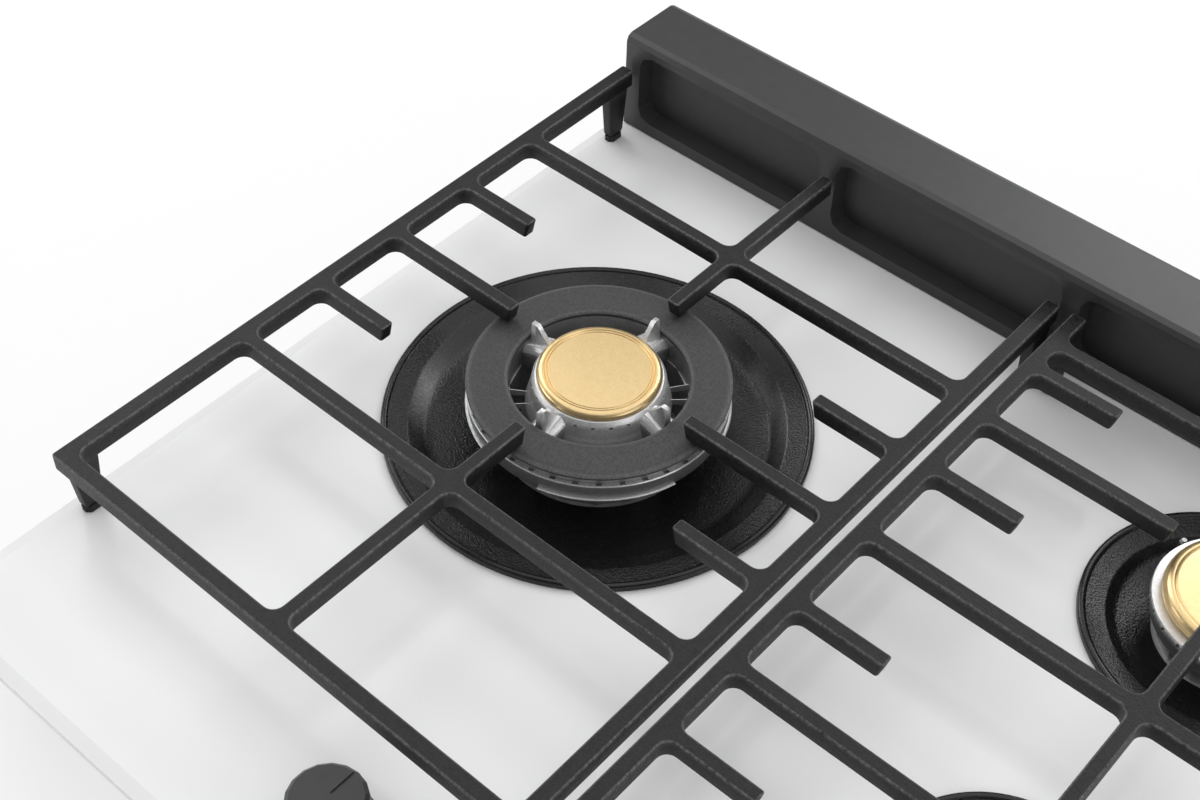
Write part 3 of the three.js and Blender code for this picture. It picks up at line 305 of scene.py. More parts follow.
def painted_light_by_facing(material, side, edge, top):
    """Paints light and shade by the way a surface faces: its sides, rounded upper edges and flat
    top differ by these factors.
    """
    tree = material.node_tree
    shader = tree.nodes["Principled BSDF"]
    colour = shader.inputs["Base Color"].links[0].from_socket
    # Painted light and shade: the base colour is multiplied by a ramp on the normal's upward part,
    # which shades the sides and paints a highlight on rounded edges.
    facing = tree.nodes.new("ShaderNodeTexCoord")
    height = tree.nodes.new("ShaderNodeSeparateXYZ")
    facing_light_ramp = tree.nodes.new("ShaderNodeValToRGB")
    ramp = facing_light_ramp.color_ramp
    ramp.elements[0].position = 0.04
    ramp.elements[0].color = (side, side, side, 1)
    ramp.elements[1].position = 1.0
    ramp.elements[1].color = (top, top, top, 1)
    for position, value in ((0.2, edge), (0.92, edge), (0.985, top)):
        ramp.elements.new(position).color = (value, value, value, 1)
    facing_lit_colour = tree.nodes.new("ShaderNodeMix")
    facing_lit_colour.data_type = "RGBA"
    facing_lit_colour.blend_type = "MULTIPLY"
    facing_lit_colour.inputs["Factor"].default_value = 1.0
    tree.links.new(facing.outputs["Normal"], height.inputs[0])
    tree.links.new(height.outputs["Z"], facing_light_ramp.inputs[0])
    tree.links.new(colour, facing_lit_colour.inputs[6])
    tree.links.new(facing_light_ramp.outputs[0], facing_lit_colour.inputs[7])
    tree.links.new(facing_lit_colour.outputs[2], shader.inputs["Base Color"])


cast_iron = grained(
    "cast_iron",
    dark=(0.003, 0.003, 0.0031),
    light=(0.034, 0.034, 0.0345),
    rough=(0.42, 0.6),
    fine_size=1.3,
    coarse_size=3.0,
    share=0.75,
    bump=0.34,
    shine=0.35,
)
# Painted highlight along the bars' rounded edges, with painted shade on their sides and a darker
# painted tone on their flat tops.
painted_light_by_facing(cast_iron, side=0.7, edge=4.5, top=0.55)
foot_rubber = grained(
    "foot_rubber",
    dark=(0.012, 0.012, 0.012),
    light=(0.022, 0.022, 0.022),
    rough=(0.75, 0.9),
    fine_size=0.5,
    coarse_size=2.5,
    share=0.6,
    bump=0.03,
)

glass_top = span("glass_top")[1].z
support_top = span("left_pan_support")[1].z
bar_depth = 10
bar_bottom = support_top - bar_depth
frame_bar = 7.7
cross_bar = 7.0
finger = 6.8
fillet = 5.5
bar_edge = 1.0
tip_undercut = 2.2
tip_zone = 2.5
leg_overlap = 4
leg_length = 16
leg_width = frame_bar - 1.2
leg_taper = (0.9, 0.62, 1)
# Pieces that rest on each other are this far apart.
seat_gap = 0.3


def arc_corners(mesh, corners, radius, segments):
    bmesh.ops.bevel(
        mesh,
        geom=corners,
        offset=radius,
        offset_type="OFFSET",
        segments=segments,
        profile=0.5,
        affect="VERTICES",
        clamp_overlap=True,
        material=-1,
    )


def raised_outline(loops, depth, edge):
    """A flat casting from closed wire loops, its edges rounded and its upper face at z = 0."""
    curve = bpy.data.curves.new("outline", "CURVE")
    curve.dimensions = "2D"
    curve.fill_mode = "BOTH"
    curve.extrude = depth / 2 - edge
    curve.bevel_depth = edge
    curve.bevel_resolution = 3
    curve.offset = -edge
    left = set(loops.verts)
    while left:
        corner = left.pop()
        run = [corner]
        while True:
            onward = [e.other_vert(run[-1]) for e in run[-1].link_edges]
            onward = [v for v in onward if v in left]
            if not onward:
                break
            run.append(onward[0])
            left.remove(onward[0])
        spline = curve.splines.new("POLY")
        spline.points.add(len(run) - 1)
        for point, corner in zip(spline.points, run):
            point.co = (corner.co.x, corner.co.y, 0, 1)
        spline.use_cyclic_u = True
    drawn = bpy.data.objects.new("outline", curve)
    scene.collection.objects.link(drawn)
    filled = drawn.evaluated_get(bpy.context.evaluated_depsgraph_get())
    made = bpy.data.meshes.new_from_object(filled)
    mesh = bmesh.new()
    mesh.from_mesh(made)
    bpy.data.objects.remove(drawn)
    bpy.data.curves.remove(curve)
    bpy.data.meshes.remove(made)
    bmesh.ops.remove_doubles(mesh, verts=mesh.verts[:], dist=0.002)
    bmesh.ops.recalc_face_normals(mesh, faces=mesh.faces[:])
    bmesh.ops.translate(mesh, vec=(0, 0, -depth / 2), verts=mesh.verts)
    return mesh


def cast_grid(name, bars, tips):
    """One casting from bars [x low, x high, y low, y high] that lie in one plane."""
    low, high = span(name)
    plan = bmesh.new()
    bmesh.ops.create_grid(plan, x_segments=1, y_segments=1, size=0.5)
    size = high - low
    centre = (low + high) / 2
    bmesh.ops.scale(plan, vec=(size.x, size.y, 1), verts=plan.verts)
    bmesh.ops.translate(plan, vec=(centre.x, centre.y, 0), verts=plan.verts)
    for axis in (0, 1):
        direction = Vector((1 - axis, axis, 0))
        sides = [side for bar in bars for side in bar[2 * axis : 2 * axis + 2]]
        for cut in sorted({round(side, 3) for side in sides}):
            bmesh.ops.bisect_plane(
                plan,
                geom=plan.verts[:] + plan.edges[:] + plan.faces[:],
                plane_co=direction * cut,
                plane_no=direction,
            )

    def on_a_bar(point):
        return any(b[0] < point.x < b[1] and b[2] < point.y < b[3] for b in bars)

    open_cells = [f for f in plan.faces if not on_a_bar(f.calc_center_median())]
    bmesh.ops.delete(plan, geom=open_cells, context="FACES")
    inner = [v for v in plan.verts if len(v.link_faces) == 3]
    outer = [v for v in plan.verts if len(v.link_faces) == 1]
    straight = [v for v in plan.verts if v.is_boundary and len(v.link_faces) == 2]
    within = [e for e in plan.edges if not e.is_boundary]
    bmesh.ops.delete(plan, geom=within, context="EDGES")
    bmesh.ops.delete(plan, geom=[v for v in plan.verts if not v.link_edges], context="VERTS")
    bmesh.ops.dissolve_verts(plan, verts=straight)
    arc_corners(plan, inner, fillet, 6)
    arc_corners(plan, [v for v in outer if v.is_valid], bar_edge + 0.3, 3)
    mesh = raised_outline(plan, bar_depth, bar_edge)
    plan.free()
    # The end of each finger leans in a little towards its underside.
    for x, y, inward in tips:
        for corner in mesh.verts:
            from_tip = (corner.co.x - x) * inward[0] + (corner.co.y - y) * inward[1]
            across = (corner.co.x - x) * inward[1] + (corner.co.y - y) * inward[0]
            if -0.01 < from_tip < tip_zone and abs(across) < finger:
                lean = tip_undercut * -corner.co.z / bar_depth
                corner.co += Vector((*inward, 0)) * lean
    bmesh.ops.translate(mesh, vec=(0, 0, support_top), verts=mesh.verts)
    # A crease where the flat top and underside meet the rounded edge keeps them looking flat.
    for edge in mesh.edges:
        edge.smooth = len([f for f in edge.link_faces if abs(f.normal.z) > 0.9999]) != 1
    return mesh


def legs(mesh, side):
    """Short tapered legs from the frame down to the feet."""
    for end in ("front_left", "front_right", "rear_left", "rear_right"):
        foot = f"{side}_support_foot_{end}"
        x, y = middle(foot)
        toe = span(foot)[1].z + seat_gap
        leg_top = bar_bottom + leg_overlap
        leg = bmesh.ops.create_cube(mesh, size=1)["verts"]
        bmesh.ops.scale(mesh, vec=(leg_width, leg_length, leg_top - toe), verts=leg)
        bmesh.ops.translate(mesh, vec=(x, y, (leg_top + toe) / 2), verts=leg)
        foot_end = [v for v in leg if v.co.z < bar_bottom]
        bmesh.ops.scale(
            mesh,
            vec=leg_taper,
            space=Matrix.Translation((-x, -y, 0)),
            verts=foot_end,
        )
        around = {e for v in leg for e in v.link_edges}
        round_off(mesh, around, 1.0, 3)


def centred(x, y, bars):
    return [(x + a, x + b, y + c, y + d) for a, b, c, d in bars]


low, high = span("left_pan_support")
half = (high.x - low.x) / 2
inside = half - frame_bar
left_x = (low.x + high.x) / 2
cross_y = low.y + 206
front_edge = low.y - cross_y
tail_end = high.y - cross_y
long_tip = 53
short_tip = 88.3
short_offset = 50.1
cross_offset = 99
left_bars = [
    (-half, -inside, front_edge, tail_end),
    (inside, half, front_edge, tail_end),
    (-half, half, front_edge, front_edge + frame_bar),
    (-half, half, -cross_offset - cross_bar / 2, -cross_offset + cross_bar / 2),
    (-half, half, cross_offset - cross_bar / 2, cross_offset + cross_bar / 2),
    (-finger / 2, finger / 2, front_edge, -long_tip),
    (-finger / 2, finger / 2, long_tip, tail_end),
    (-half, -long_tip, -finger / 2, finger / 2),
    (long_tip, half, -finger / 2, finger / 2),
]
left_tips = [
    (left_x, cross_y - long_tip, (0, -1)),
    (left_x, cross_y + long_tip, (0, 1)),
    (left_x - long_tip, cross_y, (-1, 0)),
    (left_x + long_tip, cross_y, (1, 0)),
]
for y in (-short_offset, short_offset):
    left_bars.append((-half, -short_tip, y - finger / 2, y + finger / 2))
    left_bars.append((short_tip, half, y - finger / 2, y + finger / 2))
    left_tips.append((left_x - short_tip, cross_y + y, (-1, 0)))
    left_tips.append((left_x + short_tip, cross_y + y, (1, 0)))
left_grid = cast_grid("left_pan_support", centred(left_x, cross_y, left_bars), left_tips)
legs(left_grid, "left")
piece(
    "left_cast_support",
    left_grid,
    cast_iron,
    "left_support_body",
    ["left_pan_support"],
)

right_x = -left_x
bridge = 2
back_bar = bridge + 154
short_pitch = 42
burner_offset = 92
semi_y, semi_tip = bridge + burner_offset, 36
aux_y, aux_tip = bridge - burner_offset, 32
right_bars = [
    (-half, -inside, front_edge, tail_end),
    (inside, half, front_edge, tail_end),
    (-half, half, front_edge, front_edge + frame_bar),
    (-half, half, bridge - frame_bar / 2, bridge + frame_bar / 2),
    (-half, half, back_bar - cross_bar / 2, back_bar + cross_bar / 2),
    (-finger / 2, finger / 2, semi_y + semi_tip, tail_end),
    (-finger / 2, finger / 2, bridge, semi_y - semi_tip),
    (-finger / 2, finger / 2, aux_y + aux_tip, bridge),
    (-finger / 2, finger / 2, front_edge, aux_y - aux_tip),
]
right_tips = []
for burner_y, tip in ((semi_y, semi_tip), (aux_y, aux_tip)):
    right_tips.append((right_x, cross_y + burner_y - tip, (0, -1)))
    right_tips.append((right_x, cross_y + burner_y + tip, (0, 1)))
    side_fingers = [(burner_y, tip)]
    side_fingers += [(burner_y + away, short_tip) for away in (-short_pitch, short_pitch)]
    for y, reach in side_fingers:
        right_bars.append((-half, -reach, y - finger / 2, y + finger / 2))
        right_bars.append((reach, half, y - finger / 2, y + finger / 2))
        right_tips.append((right_x - reach, cross_y + y, (-1, 0)))
        right_tips.append((right_x + reach, cross_y + y, (1, 0)))
right_grid = cast_grid("right_pan_support", centred(right_x, cross_y, right_bars), right_tips)
legs(right_grid, "right")
piece(
    "right_cast_support",
    right_grid,
    cast_iron,
    "right_support_body",
    ["right_pan_support"],
)
paint(foot_rubber, *[name for name in nodes if "_support_foot_" in name])


# ---- Drip bowls ----
# A pressed steel dish round each burner, in glossy black vitreous enamel that has taken a coarse
# grain. It hangs in its hole in the glass by a flange with a smooth rolled lip.

bowl_enamel = grained(
    "bowl_enamel",
    dark=(0.0025, 0.0025, 0.0027),
    light=(0.01, 0.01, 0.0105),
    rough=(0.12, 0.28),
    fine_size=0.95,
    coarse_size=2.2,
    share=0.75,
    bump=0.42,
)

# The rolled lip and the slope below the flange came out smooth.
smooth_enamel = grained(
    "smooth_enamel",
    dark=(0.004, 0.004, 0.0042),
    light=(0.009, 0.009, 0.0092),
    rough=(0.24, 0.32),
    fine_size=1.5,
    coarse_size=6.0,
    share=0.5,
    bump=0.05,
)


def turned(corners, x=0, y=0, steps=128, fillets=()):
    """A profile of [radius, height] turned about an upright axis, with some corners rounded."""
    mesh = bmesh.new()
    run = [mesh.verts.new((r, 0, z)) for r, z in corners]
    closed = corners[0][0] > 0 or corners[-1][0] > 0
    for first, second in zip(run, run[1:]):
        mesh.edges.new((first, second))
    if closed:
        mesh.edges.new((run[-1], run[0]))
    for index, radius in fillets:
        arc_corners(mesh, [run[index]], radius, 5)
    bmesh.ops.spin(
        mesh,
        geom=mesh.verts[:] + mesh.edges[:],
        cent=(0, 0, 0),
        axis=(0, 0, 1),
        angle=2 * pi,
        steps=steps,
        use_merge=True,
        use_duplicate=False,
    )
    bmesh.ops.remove_doubles(mesh, verts=mesh.verts[:], dist=0.001)
    bmesh.ops.dissolve_degenerate(mesh, dist=0.001, edges=mesh.edges[:])
    bmesh.ops.recalc_face_normals(mesh, faces=mesh.faces[:])
    bmesh.ops.translate(mesh, vec=(x, y, 0), verts=mesh.verts)
    return mesh


sheet = 1.5
flange_width = 12.8
smooth_lip = 3.2
for name, neck, dip, sides in (
    ("wok", 49, 7.6, 192),
    ("semi_rapid", 31.5, 5, 144),
    ("auxiliary", 23.5, 5, 128),
):
    node = f"{name}_drip_bowl"
    low, high = span(node)
    x, y = middle(node)
    radius = high.x - x
    step = radius - flange_width
    reach = step - neck
    upper = [
        (radius, 0.35),
        (radius, 3.6),
        (radius - 2.8, 3.6),
        (radius - 3.5, 2.4),
        (step, 1.0),
        (step - 0.22 * reach, -0.6 * dip),
        (step - 0.46 * reach, -0.8 * dip),
        (neck + 0.15 * reach, -dip),
        (neck, -dip),
    ]
    under = [
        (neck, -dip - sheet),
        (neck + 0.15 * reach, -dip - sheet),
        (step - 0.46 * reach, -0.8 * dip - sheet),
        (step - 0.22 * reach - 0.5, -0.6 * dip - sheet),
        (step - 0.6, 0.0),
        (radius - 1.5, 0.35),
    ]
    heights = [(r, glass_top + z) for r, z in upper + under]
    rounding = [(1, 1.6), (2, 1.0), (3, 0.6), (4, 0.7), (5, 2.6), (6, 6.0), (7, 4.0)]
    if name != "wok":
        rounding = [(1, 1.4), (2, 0.9), (3, 0.5), (4, 0.6), (5, 1.4), (6, 2.4), (7, 2.0)]
    dish = turned(heights, x, y, sides, rounding)
    for face in dish.faces:
        away = (face.calc_center_median().xy - Vector((x, y))).length
        if step - 0.2 * reach < away < step - 0.2 or away > radius - smooth_lip:
            face.material_index = 1
    made = piece(f"{name}_enamel_bowl", dish, bowl_enamel, "hob", [node])
    made.data.materials.append(smooth_enamel)


# ---- The wok burner's flame ring and crown ----
# One aluminium casting: an outer flame ring and a central crown, joined by four arms that each
# carry an upright fin. The cap seats and the ring's side are turned, and the rest is as cast.

cast_aluminium = grained(
    "cast_aluminium",
    dark=(0.66, 0.66, 0.665),
    light=(0.9, 0.9, 0.905),
    rough=(0.34, 0.5),
    fine_size=0.7,
    coarse_size=2.4,
    share=0.7,
    bump=0.12,
    metal=0.75,
)
# Painted shade: the casting's upright walls are painted darker than its tops and edges.
painted_light_by_facing(cast_aluminium, side=0.42, edge=1.0, top=1.0)

wok_x, wok_y = middle("wok_inner_cap")
ring_bottom = span("wok_burner_head")[0].z
ring_top = span("wok_ring_cap")[0].z - seat_gap
ring_radius = 63.0
ring_bore = 43.5


def shut(mesh):
    """Closes every open end of a bmesh and turns its faces out."""
    rim = [e for e in mesh.edges if e.is_boundary]
    bmesh.ops.holes_fill(mesh, edges=rim, sides=0)
    bmesh.ops.recalc_face_normals(mesh, faces=mesh.faces[:])


def bar(sections):
    """A solid through square-on sections of [x, [(y, z), ...]], each with equally many corners."""
    mesh = bmesh.new()
    first_x, first = sections[0]
    face = mesh.faces.new([mesh.verts.new((first_x, y, z)) for y, z in first])
    for x, outline in sections[1:]:
        grown = bmesh.ops.extrude_face_region(mesh, geom=[face])["geom"]
        face = next(g for g in grown if isinstance(g, bmesh.types.BMFace))
        for corner, (y, z) in zip(face.verts, outline):
            corner.co = (x, y, z)
    bmesh.ops.recalc_face_normals(mesh, faces=mesh.faces[:])
    return mesh


def taken_in(target, part, angle=0.0, x=0.0, y=0.0):
    """Adds a copy of one bmesh to another, turned about the upright axis."""
    data = bpy.data.meshes.new("part")
    part.to_mesh(data)
    data.transform(Matrix.Translation((x, y, 0)) @ Matrix.Rotation(angle, 4, "Z"))
    target.from_mesh(data)
    bpy.data.meshes.remove(data)


def bearing(face):
    """Where a face stands round the upright axis, in radians."""
    centre = face.calc_center_median()
    return atan2(centre.y, centre.x)


def notched(mesh, radius_low, radius_high, z, every, steps, depth):
    """Sinks one face in each group of faces round a flat rim, as flame ports."""
    pitch = 2 * pi / steps
    chosen = []
    for face in mesh.faces:
        centre = face.calc_center_median()
        radius = centre.xy.length
        if abs(centre.z - z) < 0.05 and radius_low < radius < radius_high:
            if int(round(bearing(face) / pitch - 0.5)) % every == 0:
                chosen.append(face)
    sunk = bmesh.ops.extrude_discrete_faces(mesh, faces=chosen)["faces"]
    corners = {v for f in sunk for v in f.verts}
    bmesh.ops.translate(mesh, vec=(0, 0, -depth), verts=list(corners))


ring_steps = 144
steps_per_notch = 4
notch_depth = 1.6
seat = ring_top - 3.2
flame_ring = turned(
    [
        (ring_bore, ring_bottom),
        (ring_radius - 1.0, ring_bottom),
        (ring_radius - 0.5, ring_bottom + 1.5),
        (ring_radius, seat - 0.5),
        (ring_radius - 0.4, seat),
        (ring_radius - 0.8, seat),
        (ring_radius - 2.2, seat),
        (ring_radius - 2.4, ring_top),
        (ring_bore, ring_top),
    ],
    steps=ring_steps,
)
notched(
    flame_ring,
    ring_radius - 2.1,
    ring_radius - 0.85,
    seat,
    steps_per_notch,
    ring_steps,
    notch_depth,
)

lip = turned(
    [
        (ring_radius - 5, ring_bottom - 0.1),
        (ring_radius - 0.2, ring_bottom - 0.1),
        (ring_radius + 0.6, ring_bottom + 0.3),
        (ring_radius + 0.6, ring_bottom + 0.7),
        (ring_radius + 0.1, ring_bottom + 1.1),
        (ring_radius - 5, ring_bottom + 1.1),
    ],
    steps=ring_steps,
)
lip_gap = radians(15)
open_arc = [
    f
    for f in lip.faces
    if min(abs((bearing(f) - a + pi) % (2 * pi) - pi) for a in (0, pi / 2, pi, -pi / 2)) < lip_gap
]
bmesh.ops.delete(lip, geom=open_arc, context="FACES")
shut(lip)

crown_dish = 1.8
crown_top = span("wok_inner_cap")[0].z - seat_gap + crown_dish
crown_steps = 240
crown = turned(
    [
        (0, ring_bottom + 8),
        (20, ring_bottom + 8),
        (26, ring_bottom),
        (35.2, ring_bottom),
        (33.6, crown_top - 10.4),
        (33.2, crown_top - 9.4),
        (32.7, crown_top - 6.5),
        (32.2, crown_top - 3.7),
        (32.0, crown_top - 2.3),
        (31.6, crown_top - 1.6),
        (30.5, crown_top),
        (29.4, crown_top),
        (28.6, crown_top - crown_dish),
        (0, crown_top - crown_dish),
    ],
    steps=crown_steps,
    fillets=[(10, 0.3), (5, 0.8), (4, 0.6)],
)
# Small ports, each two steps wide, under the crown's bright rim.
port_width = 2
port_pitch = 10
port_depth = 5.5
ports = [
    f
    for f in crown.faces
    if crown_top - 3.7 < f.calc_center_median().z < crown_top - 2.3
    and f.calc_center_median().xy.length > 31
    and int(round(bearing(f) / (2 * pi / crown_steps) - 3.5)) % port_pitch < port_width
]
port_rings = bmesh.ops.extrude_face_region(crown, geom=ports)["geom"]
bmesh.ops.delete(crown, geom=ports, context="FACES_ONLY")
sunk = {v for v in port_rings if isinstance(v, bmesh.types.BMVert)}
for corner in sunk:
    corner.co.xy *= 1 - port_depth / corner.co.xy.length
bmesh.ops.recalc_face_normals(crown, faces=crown.faces[:])


def mirrored_section(right_half):
    """A closed section from its right half, [y, z] points from the foot up."""
    foot, *rest = right_half
    return [(-foot[0], foot[1]), foot, *rest] + [(-y, z) for y, z in reversed(rest)]


arm = bar(
    [
        (
            x,
            mirrored_section([(b, ring_bottom), (b - 0.3, z - 3.6), (b - 1.4, z - 1.6), (t, z)]),
        )
        for x, b, t, z in (
            (29.0, 7.8, 4.2, crown_top - 1.2),
            (32.0, 7.6, 4.2, crown_top - 1.5),
            (34.0, 7.5, 4.2, crown_top - 2.2),
            (38.0, 7.4, 4.3, crown_top - 3.6),
            (44.0, 7.6, 4.5, crown_top - 5.8),
        )
    ]
)
fin_peak = span("wok_burner_head")[1].z
fin_end = 42.2
fin = bar(
    [
        (
            x,
            mirrored_section(
                [
                    (base, foot),
                    (0.75 * tip + 0.25 * base, 0.5 * foot + 0.5 * top),
                    (tip, top),
                ]
            ),
        )
        for x, base, tip, foot, top in (
            (30.8, 4.4, 1.2, crown_top - 4, crown_top - 0.9),
            (33.0, 4.4, 1.2, crown_top - 4.5, crown_top + 0.5),
            (36.0, 4.2, 1.25, crown_top - 6, 0.5 * (crown_top + 0.5 + fin_peak)),
            (38.6, 3.8, 1.3, crown_top - 7, fin_peak),
            (fin_end - 0.2, 3.4, 1.3, crown_top - 8, fin_peak),
            (fin_end, 3.3, 1.2, crown_top - 8, fin_peak - 0.3),
        )
    ]
)
round_off(fin, [e for e in fin.edges if e.calc_face_angle(0) > radians(50)], 0.18, 1)
round_off(arm, [e for e in arm.edges if e.calc_face_angle(0) > radians(22)], 0.4, 2)
rib = bar(
    [
        (x, [(-0.5, ring_bottom), (0.5, ring_bottom), (0.15, z), (-0.15, z)])
        for x, z in ((33.0, ring_bottom + 2.6), (44.0, ring_bottom + 3.6))
    ]
)

wok_casting = bmesh.new()
taken_in(wok_casting, flame_ring, 0, wok_x, wok_y)
taken_in(wok_casting, lip, 0, wok_x, wok_y)
taken_in(wok_casting, crown, 0, wok_x, wok_y)
for quarter in range(4):
    turn = quarter * pi / 2
    taken_in(wok_casting, arm, turn, wok_x, wok_y)
    taken_in(wok_casting, fin, turn, wok_x, wok_y)
    for away in (38, 51):
        taken_in(wok_casting, rib, turn + radians(away), wok_x, wok_y)
piece(
    "wok_flame_casting",
    wok_casting,
    cast_aluminium,
    "hob",
    ["wok_burner_head"],
    sharp=38,
)


# ---- The wok burner's caps ----
# The ring cap is a forged disc in fine matte black enamel. The inner cap is solid brass, turned
# and finished satin, with a rounded rim and two shallow grooves round its flat top.

cap_enamel = grained(
    "cap_enamel",
    dark=(0.03, 0.03, 0.0305),
    light=(0.072, 0.072, 0.073),
    rough=(0.5, 0.66),
    fine_size=0.9,
    coarse_size=2.6,
    share=0.8,
    bump=0.08,
    shine=0.3,
)
# Painted highlight along the cap's rounded edges and painted shade on its upright sides.
painted_light_by_facing(cap_enamel, side=0.8, edge=1.7, top=1.0)
low, high = span("wok_ring_cap")
cap_outer = high.x - wok_x
cap_hole = 42.9
ring_cap = turned(
    [
        (cap_hole + 0.5, low.z),
        (cap_outer - 1.6, low.z),
        (cap_outer, low.z + 1.3),
        (cap_outer - 0.3, high.z - 1.1),
        (cap_outer - 2.6, high.z),
        (cap_hole + 2.4, high.z),
        (cap_hole + 1.3, high.z - 0.35),
        (cap_hole + 0.5, high.z - 0.75),
        (cap_hole, high.z - 1.5),
    ],
    wok_x,
    wok_y,
    192,
    [(2, 0.8), (3, 1.0), (4, 1.2), (5, 0.6), (8, 0.4)],
)
piece("wok_enamel_ring_cap", ring_cap, cap_enamel, "hob", ["wok_ring_cap"])

satin_gold = grained(
    "satin_gold_brass",
    dark=(0.76, 0.55, 0.27),
    light=(0.88, 0.68, 0.37),
    rough=(0.3, 0.42),
    fine_size=0.6,
    coarse_size=3.5,
    share=0.75,
    bump=0.05,
    metal=1.0,
)
low, high = span("wok_inner_cap")
cap_radius = high.x - wok_x
rim_bottom = crown_top + seat_gap
inner_cap = turned(
    [
        (0, low.z),
        (cap_radius - 2.1, low.z),
        (cap_radius - 2.1, rim_bottom),
        (cap_radius - 0.5, rim_bottom),
        (cap_radius, rim_bottom + 1.2),
        (cap_radius - 0.9, high.z - 0.75),
        (cap_radius - 2.4, high.z),
        (cap_radius - 3.5, high.z - 0.05),
        (cap_radius - 3.85, high.z - 0.55),
        (cap_radius - 4.2, high.z - 0.2),
        (cap_radius - 4.9, high.z - 0.2),
        (cap_radius - 5.2, high.z - 0.6),
        (cap_radius - 5.5, high.z - 0.28),
        (0.6 * cap_radius, high.z - 0.15),
        (0.35 * cap_radius, high.z - 0.04),
        (0, high.z),
    ],
    wok_x,
    wok_y,
    160,
    [(3, 0.3), (4, 0.8), (5, 0.9), (6, 0.8), (13, 3.0), (14, 3.0)],
)
piece("wok_brass_cap", inner_cap, satin_gold, "wok_inner_cap_body", ["wok_inner_cap"])


# ---- The semi-rapid and auxiliary burners ----
# Each has a cast aluminium head with a row of flame slots under its rim, and a domed-edge brass
# cap like the wok burner's, which lifts off.

steps_per_slot = 6
slot_depth = 3.0
for name, slots in (("semi_rapid", 24), ("auxiliary", 18)):
    head_low, head_high = span(f"{name}_burner_head")
    x, y = middle(f"{name}_cap")
    radius = head_high.x - x
    steps = slots * steps_per_slot
    head = turned(
        [
            (0, head_low.z + 4),
            (radius - 11, head_low.z + 4),
            (radius - 11, head_low.z),
            (radius - 3.5, head_low.z),
            (radius - 2, head_low.z + 1.5),
            (radius - 1.2, head_high.z - 6),
            (radius, head_high.z - 4.4),
            (radius, head_high.z - 3.4),
            (radius, head_high.z - 0.9),
            (radius - 0.3, head_high.z),
            (0, head_high.z),
        ],
        steps=steps,
        fillets=[(6, 0.5)],
    )
    pitch = 2 * pi / steps
    ports = [
        f
        for f in head.faces
        if abs(f.calc_center_median().xy.length - radius) < 0.2
        and head_high.z - 3.4 < f.calc_center_median().z < head_high.z - 0.9
        and int(round(bearing(f) / pitch - 0.5)) % steps_per_slot == 0
    ]
    sunk = bmesh.ops.extrude_discrete_faces(head, faces=ports)["faces"]
    for face in sunk:
        inward = face.calc_center_median()
        inward.z = 0
        sink = -slot_depth * inward.normalized()
        bmesh.ops.translate(head, vec=sink, verts=list(face.verts))
    bmesh.ops.translate(head, vec=(x, y, 0), verts=head.verts)
    piece(
        f"{name}_cast_head", head, cast_aluminium, "hob", [f"{name}_burner_head"]
    )
    low, high = span(f"{name}_cap")
    radius = high.x - x
    cap = turned(
        [
            (0, low.z),
            (radius - 2, low.z),
            (radius, low.z + 1.8),
            (radius - 0.4, high.z - 2.4),
            (radius - 2.2, high.z - 0.4),
            (radius - 4.2, high.z),
            (radius - 5.0, high.z - 0.6),
            (radius - 5.8, high.z - 0.3),
            (0, high.z - 0.25),
        ],
        x,
        y,
        128,
        [(2, 0.8), (3, 1.4), (4, 1.4), (5, 0.4), (7, 0.3)],
    )
    piece(f"{name}_brass_cap", cap, satin_gold, f"{name}_cap_body", [f"{name}_cap"])


# ---- Electrodes, probes and burner cups ----
# A glazed ceramic spark electrode and a steel flame probe stand in each bowl. Under it the burner
# cup holds the injector.

ceramic = grained(
    "glazed_ceramic",
    dark=(0.7, 0.68, 0.62),
    light=(0.8, 0.78, 0.73),
    rough=(0.2, 0.35),
    fine_size=1.2,
    coarse_size=5,
    share=0.5,
    bump=0.01,
)
probe_steel = grained(
    "probe_steel",
    dark=(0.36, 0.35, 0.34),
    light=(0.52, 0.51, 0.5),
    rough=(0.3, 0.5),
    fine_size=0.8,
    coarse_size=4,
    share=0.5,
    bump=0.02,
    metal=1.0,
)
burner_names = ("wok", "semi_rapid", "auxiliary")
paint(ceramic, *[f"{name}_spark_electrode" for name in burner_names])
paint(probe_steel, *[f"{name}_flame_probe" for name in burner_names])
paint(cast_aluminium, *[f"{name}_burner_cup" for name in burner_names])


# ---- The glass top ----
# A sheet of toughened glass, enamelled white on its underside, with ground and polished edges.

white_glass = grained(
    "white_enamelled_glass",
    dark=(0.78, 0.78, 0.785),
    light=(0.83, 0.83, 0.835),
    rough=(0.11, 0.14),
    fine_size=6,
    coarse_size=120,
    share=0.0,
    bump=0.0,
    mottled=True,
    shine=0.35,
)
white_glass.node_tree.nodes["Principled BSDF"].inputs["Coat Weight"].default_value = 0.1
white_glass.node_tree.nodes["Principled BSDF"].inputs["Coat Roughness"].default_value = 0.03
paint(white_glass, "glass_top")


# ---- The rear riser ----
# A black moulded upright along the back edge, with shallow pockets between posts in its front.

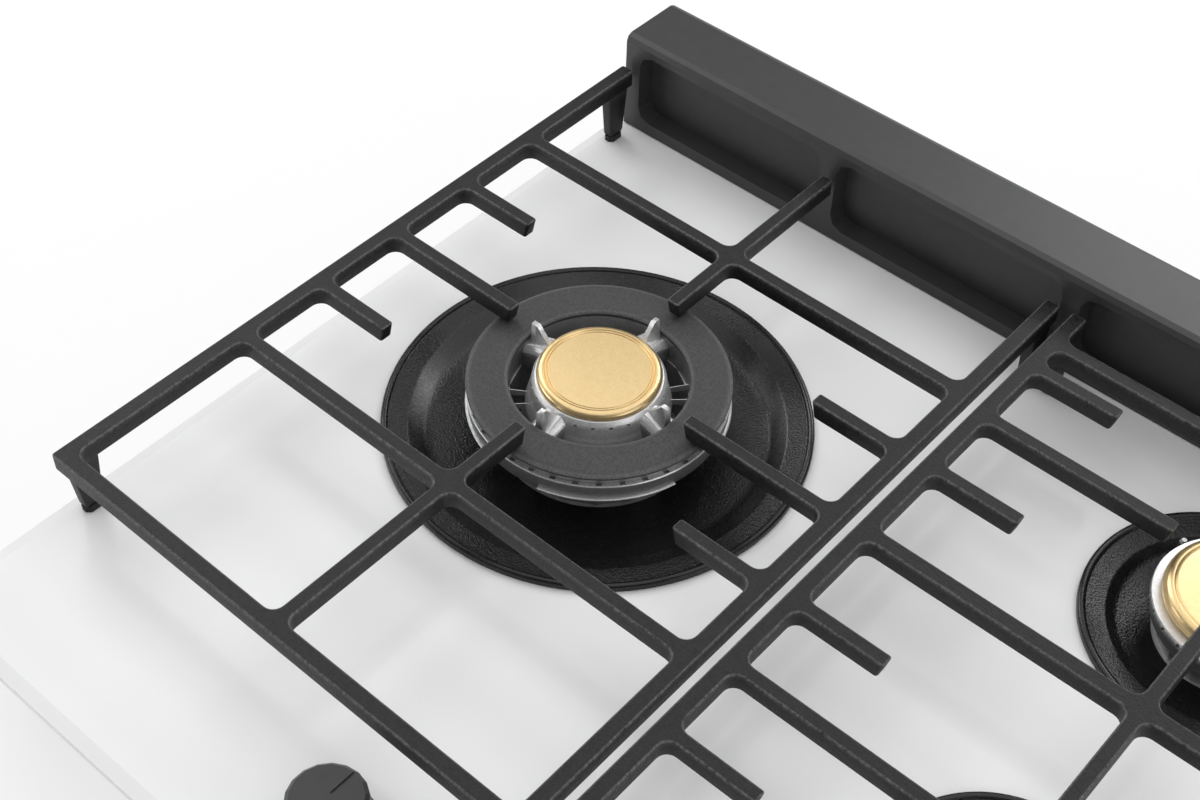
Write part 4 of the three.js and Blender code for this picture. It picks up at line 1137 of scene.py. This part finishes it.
riser_plastic = grained(
    "riser_plastic",
    dark=(0.03, 0.03, 0.031),
    light=(0.042, 0.042, 0.043),
    rough=(0.36, 0.46),
    fine_size=0.5,
    coarse_size=6,
    share=0.6,
    bump=0.02,
)
paint(riser_plastic, "rear_riser")


# ---- Knobs ----
# Turned black plastic with a skirt and a tapered grip, each on a brass spindle that comes up
# through the glass. The knob is painted black all over, without the white pointer line it has.

knob_plastic = grained(
    "knob_plastic",
    dark=(0.02, 0.02, 0.02),
    light=(0.032, 0.032, 0.032),
    rough=(0.32, 0.42),
    fine_size=0.5,
    coarse_size=5,
    share=0.6,
    bump=0.02,
)
paint(knob_plastic, *[f"{name}_knob" for name in burner_names])


# ---- The burner box and the gas train ----
# A pressed box of zinc-plated steel hangs under the glass. Inside it a steel manifold feeds three
# brass valves, and soft aluminium pipes lead from them to the injectors.

zinc_steel = grained(
    "zinc_plated_steel",
    dark=(0.4, 0.41, 0.43),
    light=(0.58, 0.59, 0.6),
    rough=(0.32, 0.5),
    fine_size=1.5,
    coarse_size=14,
    share=0.3,
    bump=0.01,
    metal=1.0,
    mottled=True,
)
machined_brass = grained(
    "machined_brass",
    dark=(0.56, 0.4, 0.17),
    light=(0.7, 0.52, 0.25),
    rough=(0.26, 0.4),
    fine_size=0.8,
    coarse_size=5,
    share=0.5,
    bump=0.01,
    metal=1.0,
)
soft_pipe = grained(
    "soft_aluminium_pipe",
    dark=(0.58, 0.58, 0.59),
    light=(0.72, 0.72, 0.73),
    rough=(0.32, 0.45),
    fine_size=1.0,
    coarse_size=8,
    share=0.4,
    bump=0.01,
    metal=1.0,
)
paint(
    zinc_steel,
    "burner_box",
    "gas_manifold",
    "manifold_bracket_left",
    "manifold_bracket_right",
    "inlet_pipe",
    *[name for name in nodes if name.startswith("worktop_clamp")],
    *[f"{name}_spring_collar" for name in burner_names],
)
paint(
    machined_brass,
    "gas_inlet_fitting",
    *[f"{name}_gas_valve" for name in burner_names],
    *[f"{name}_spindle" for name in burner_names],
)
paint(soft_pipe, *[f"{name}_feed_pipe" for name in burner_names])
paint(foot_rubber, "glass_seal")
paint(riser_plastic, "spark_generator")
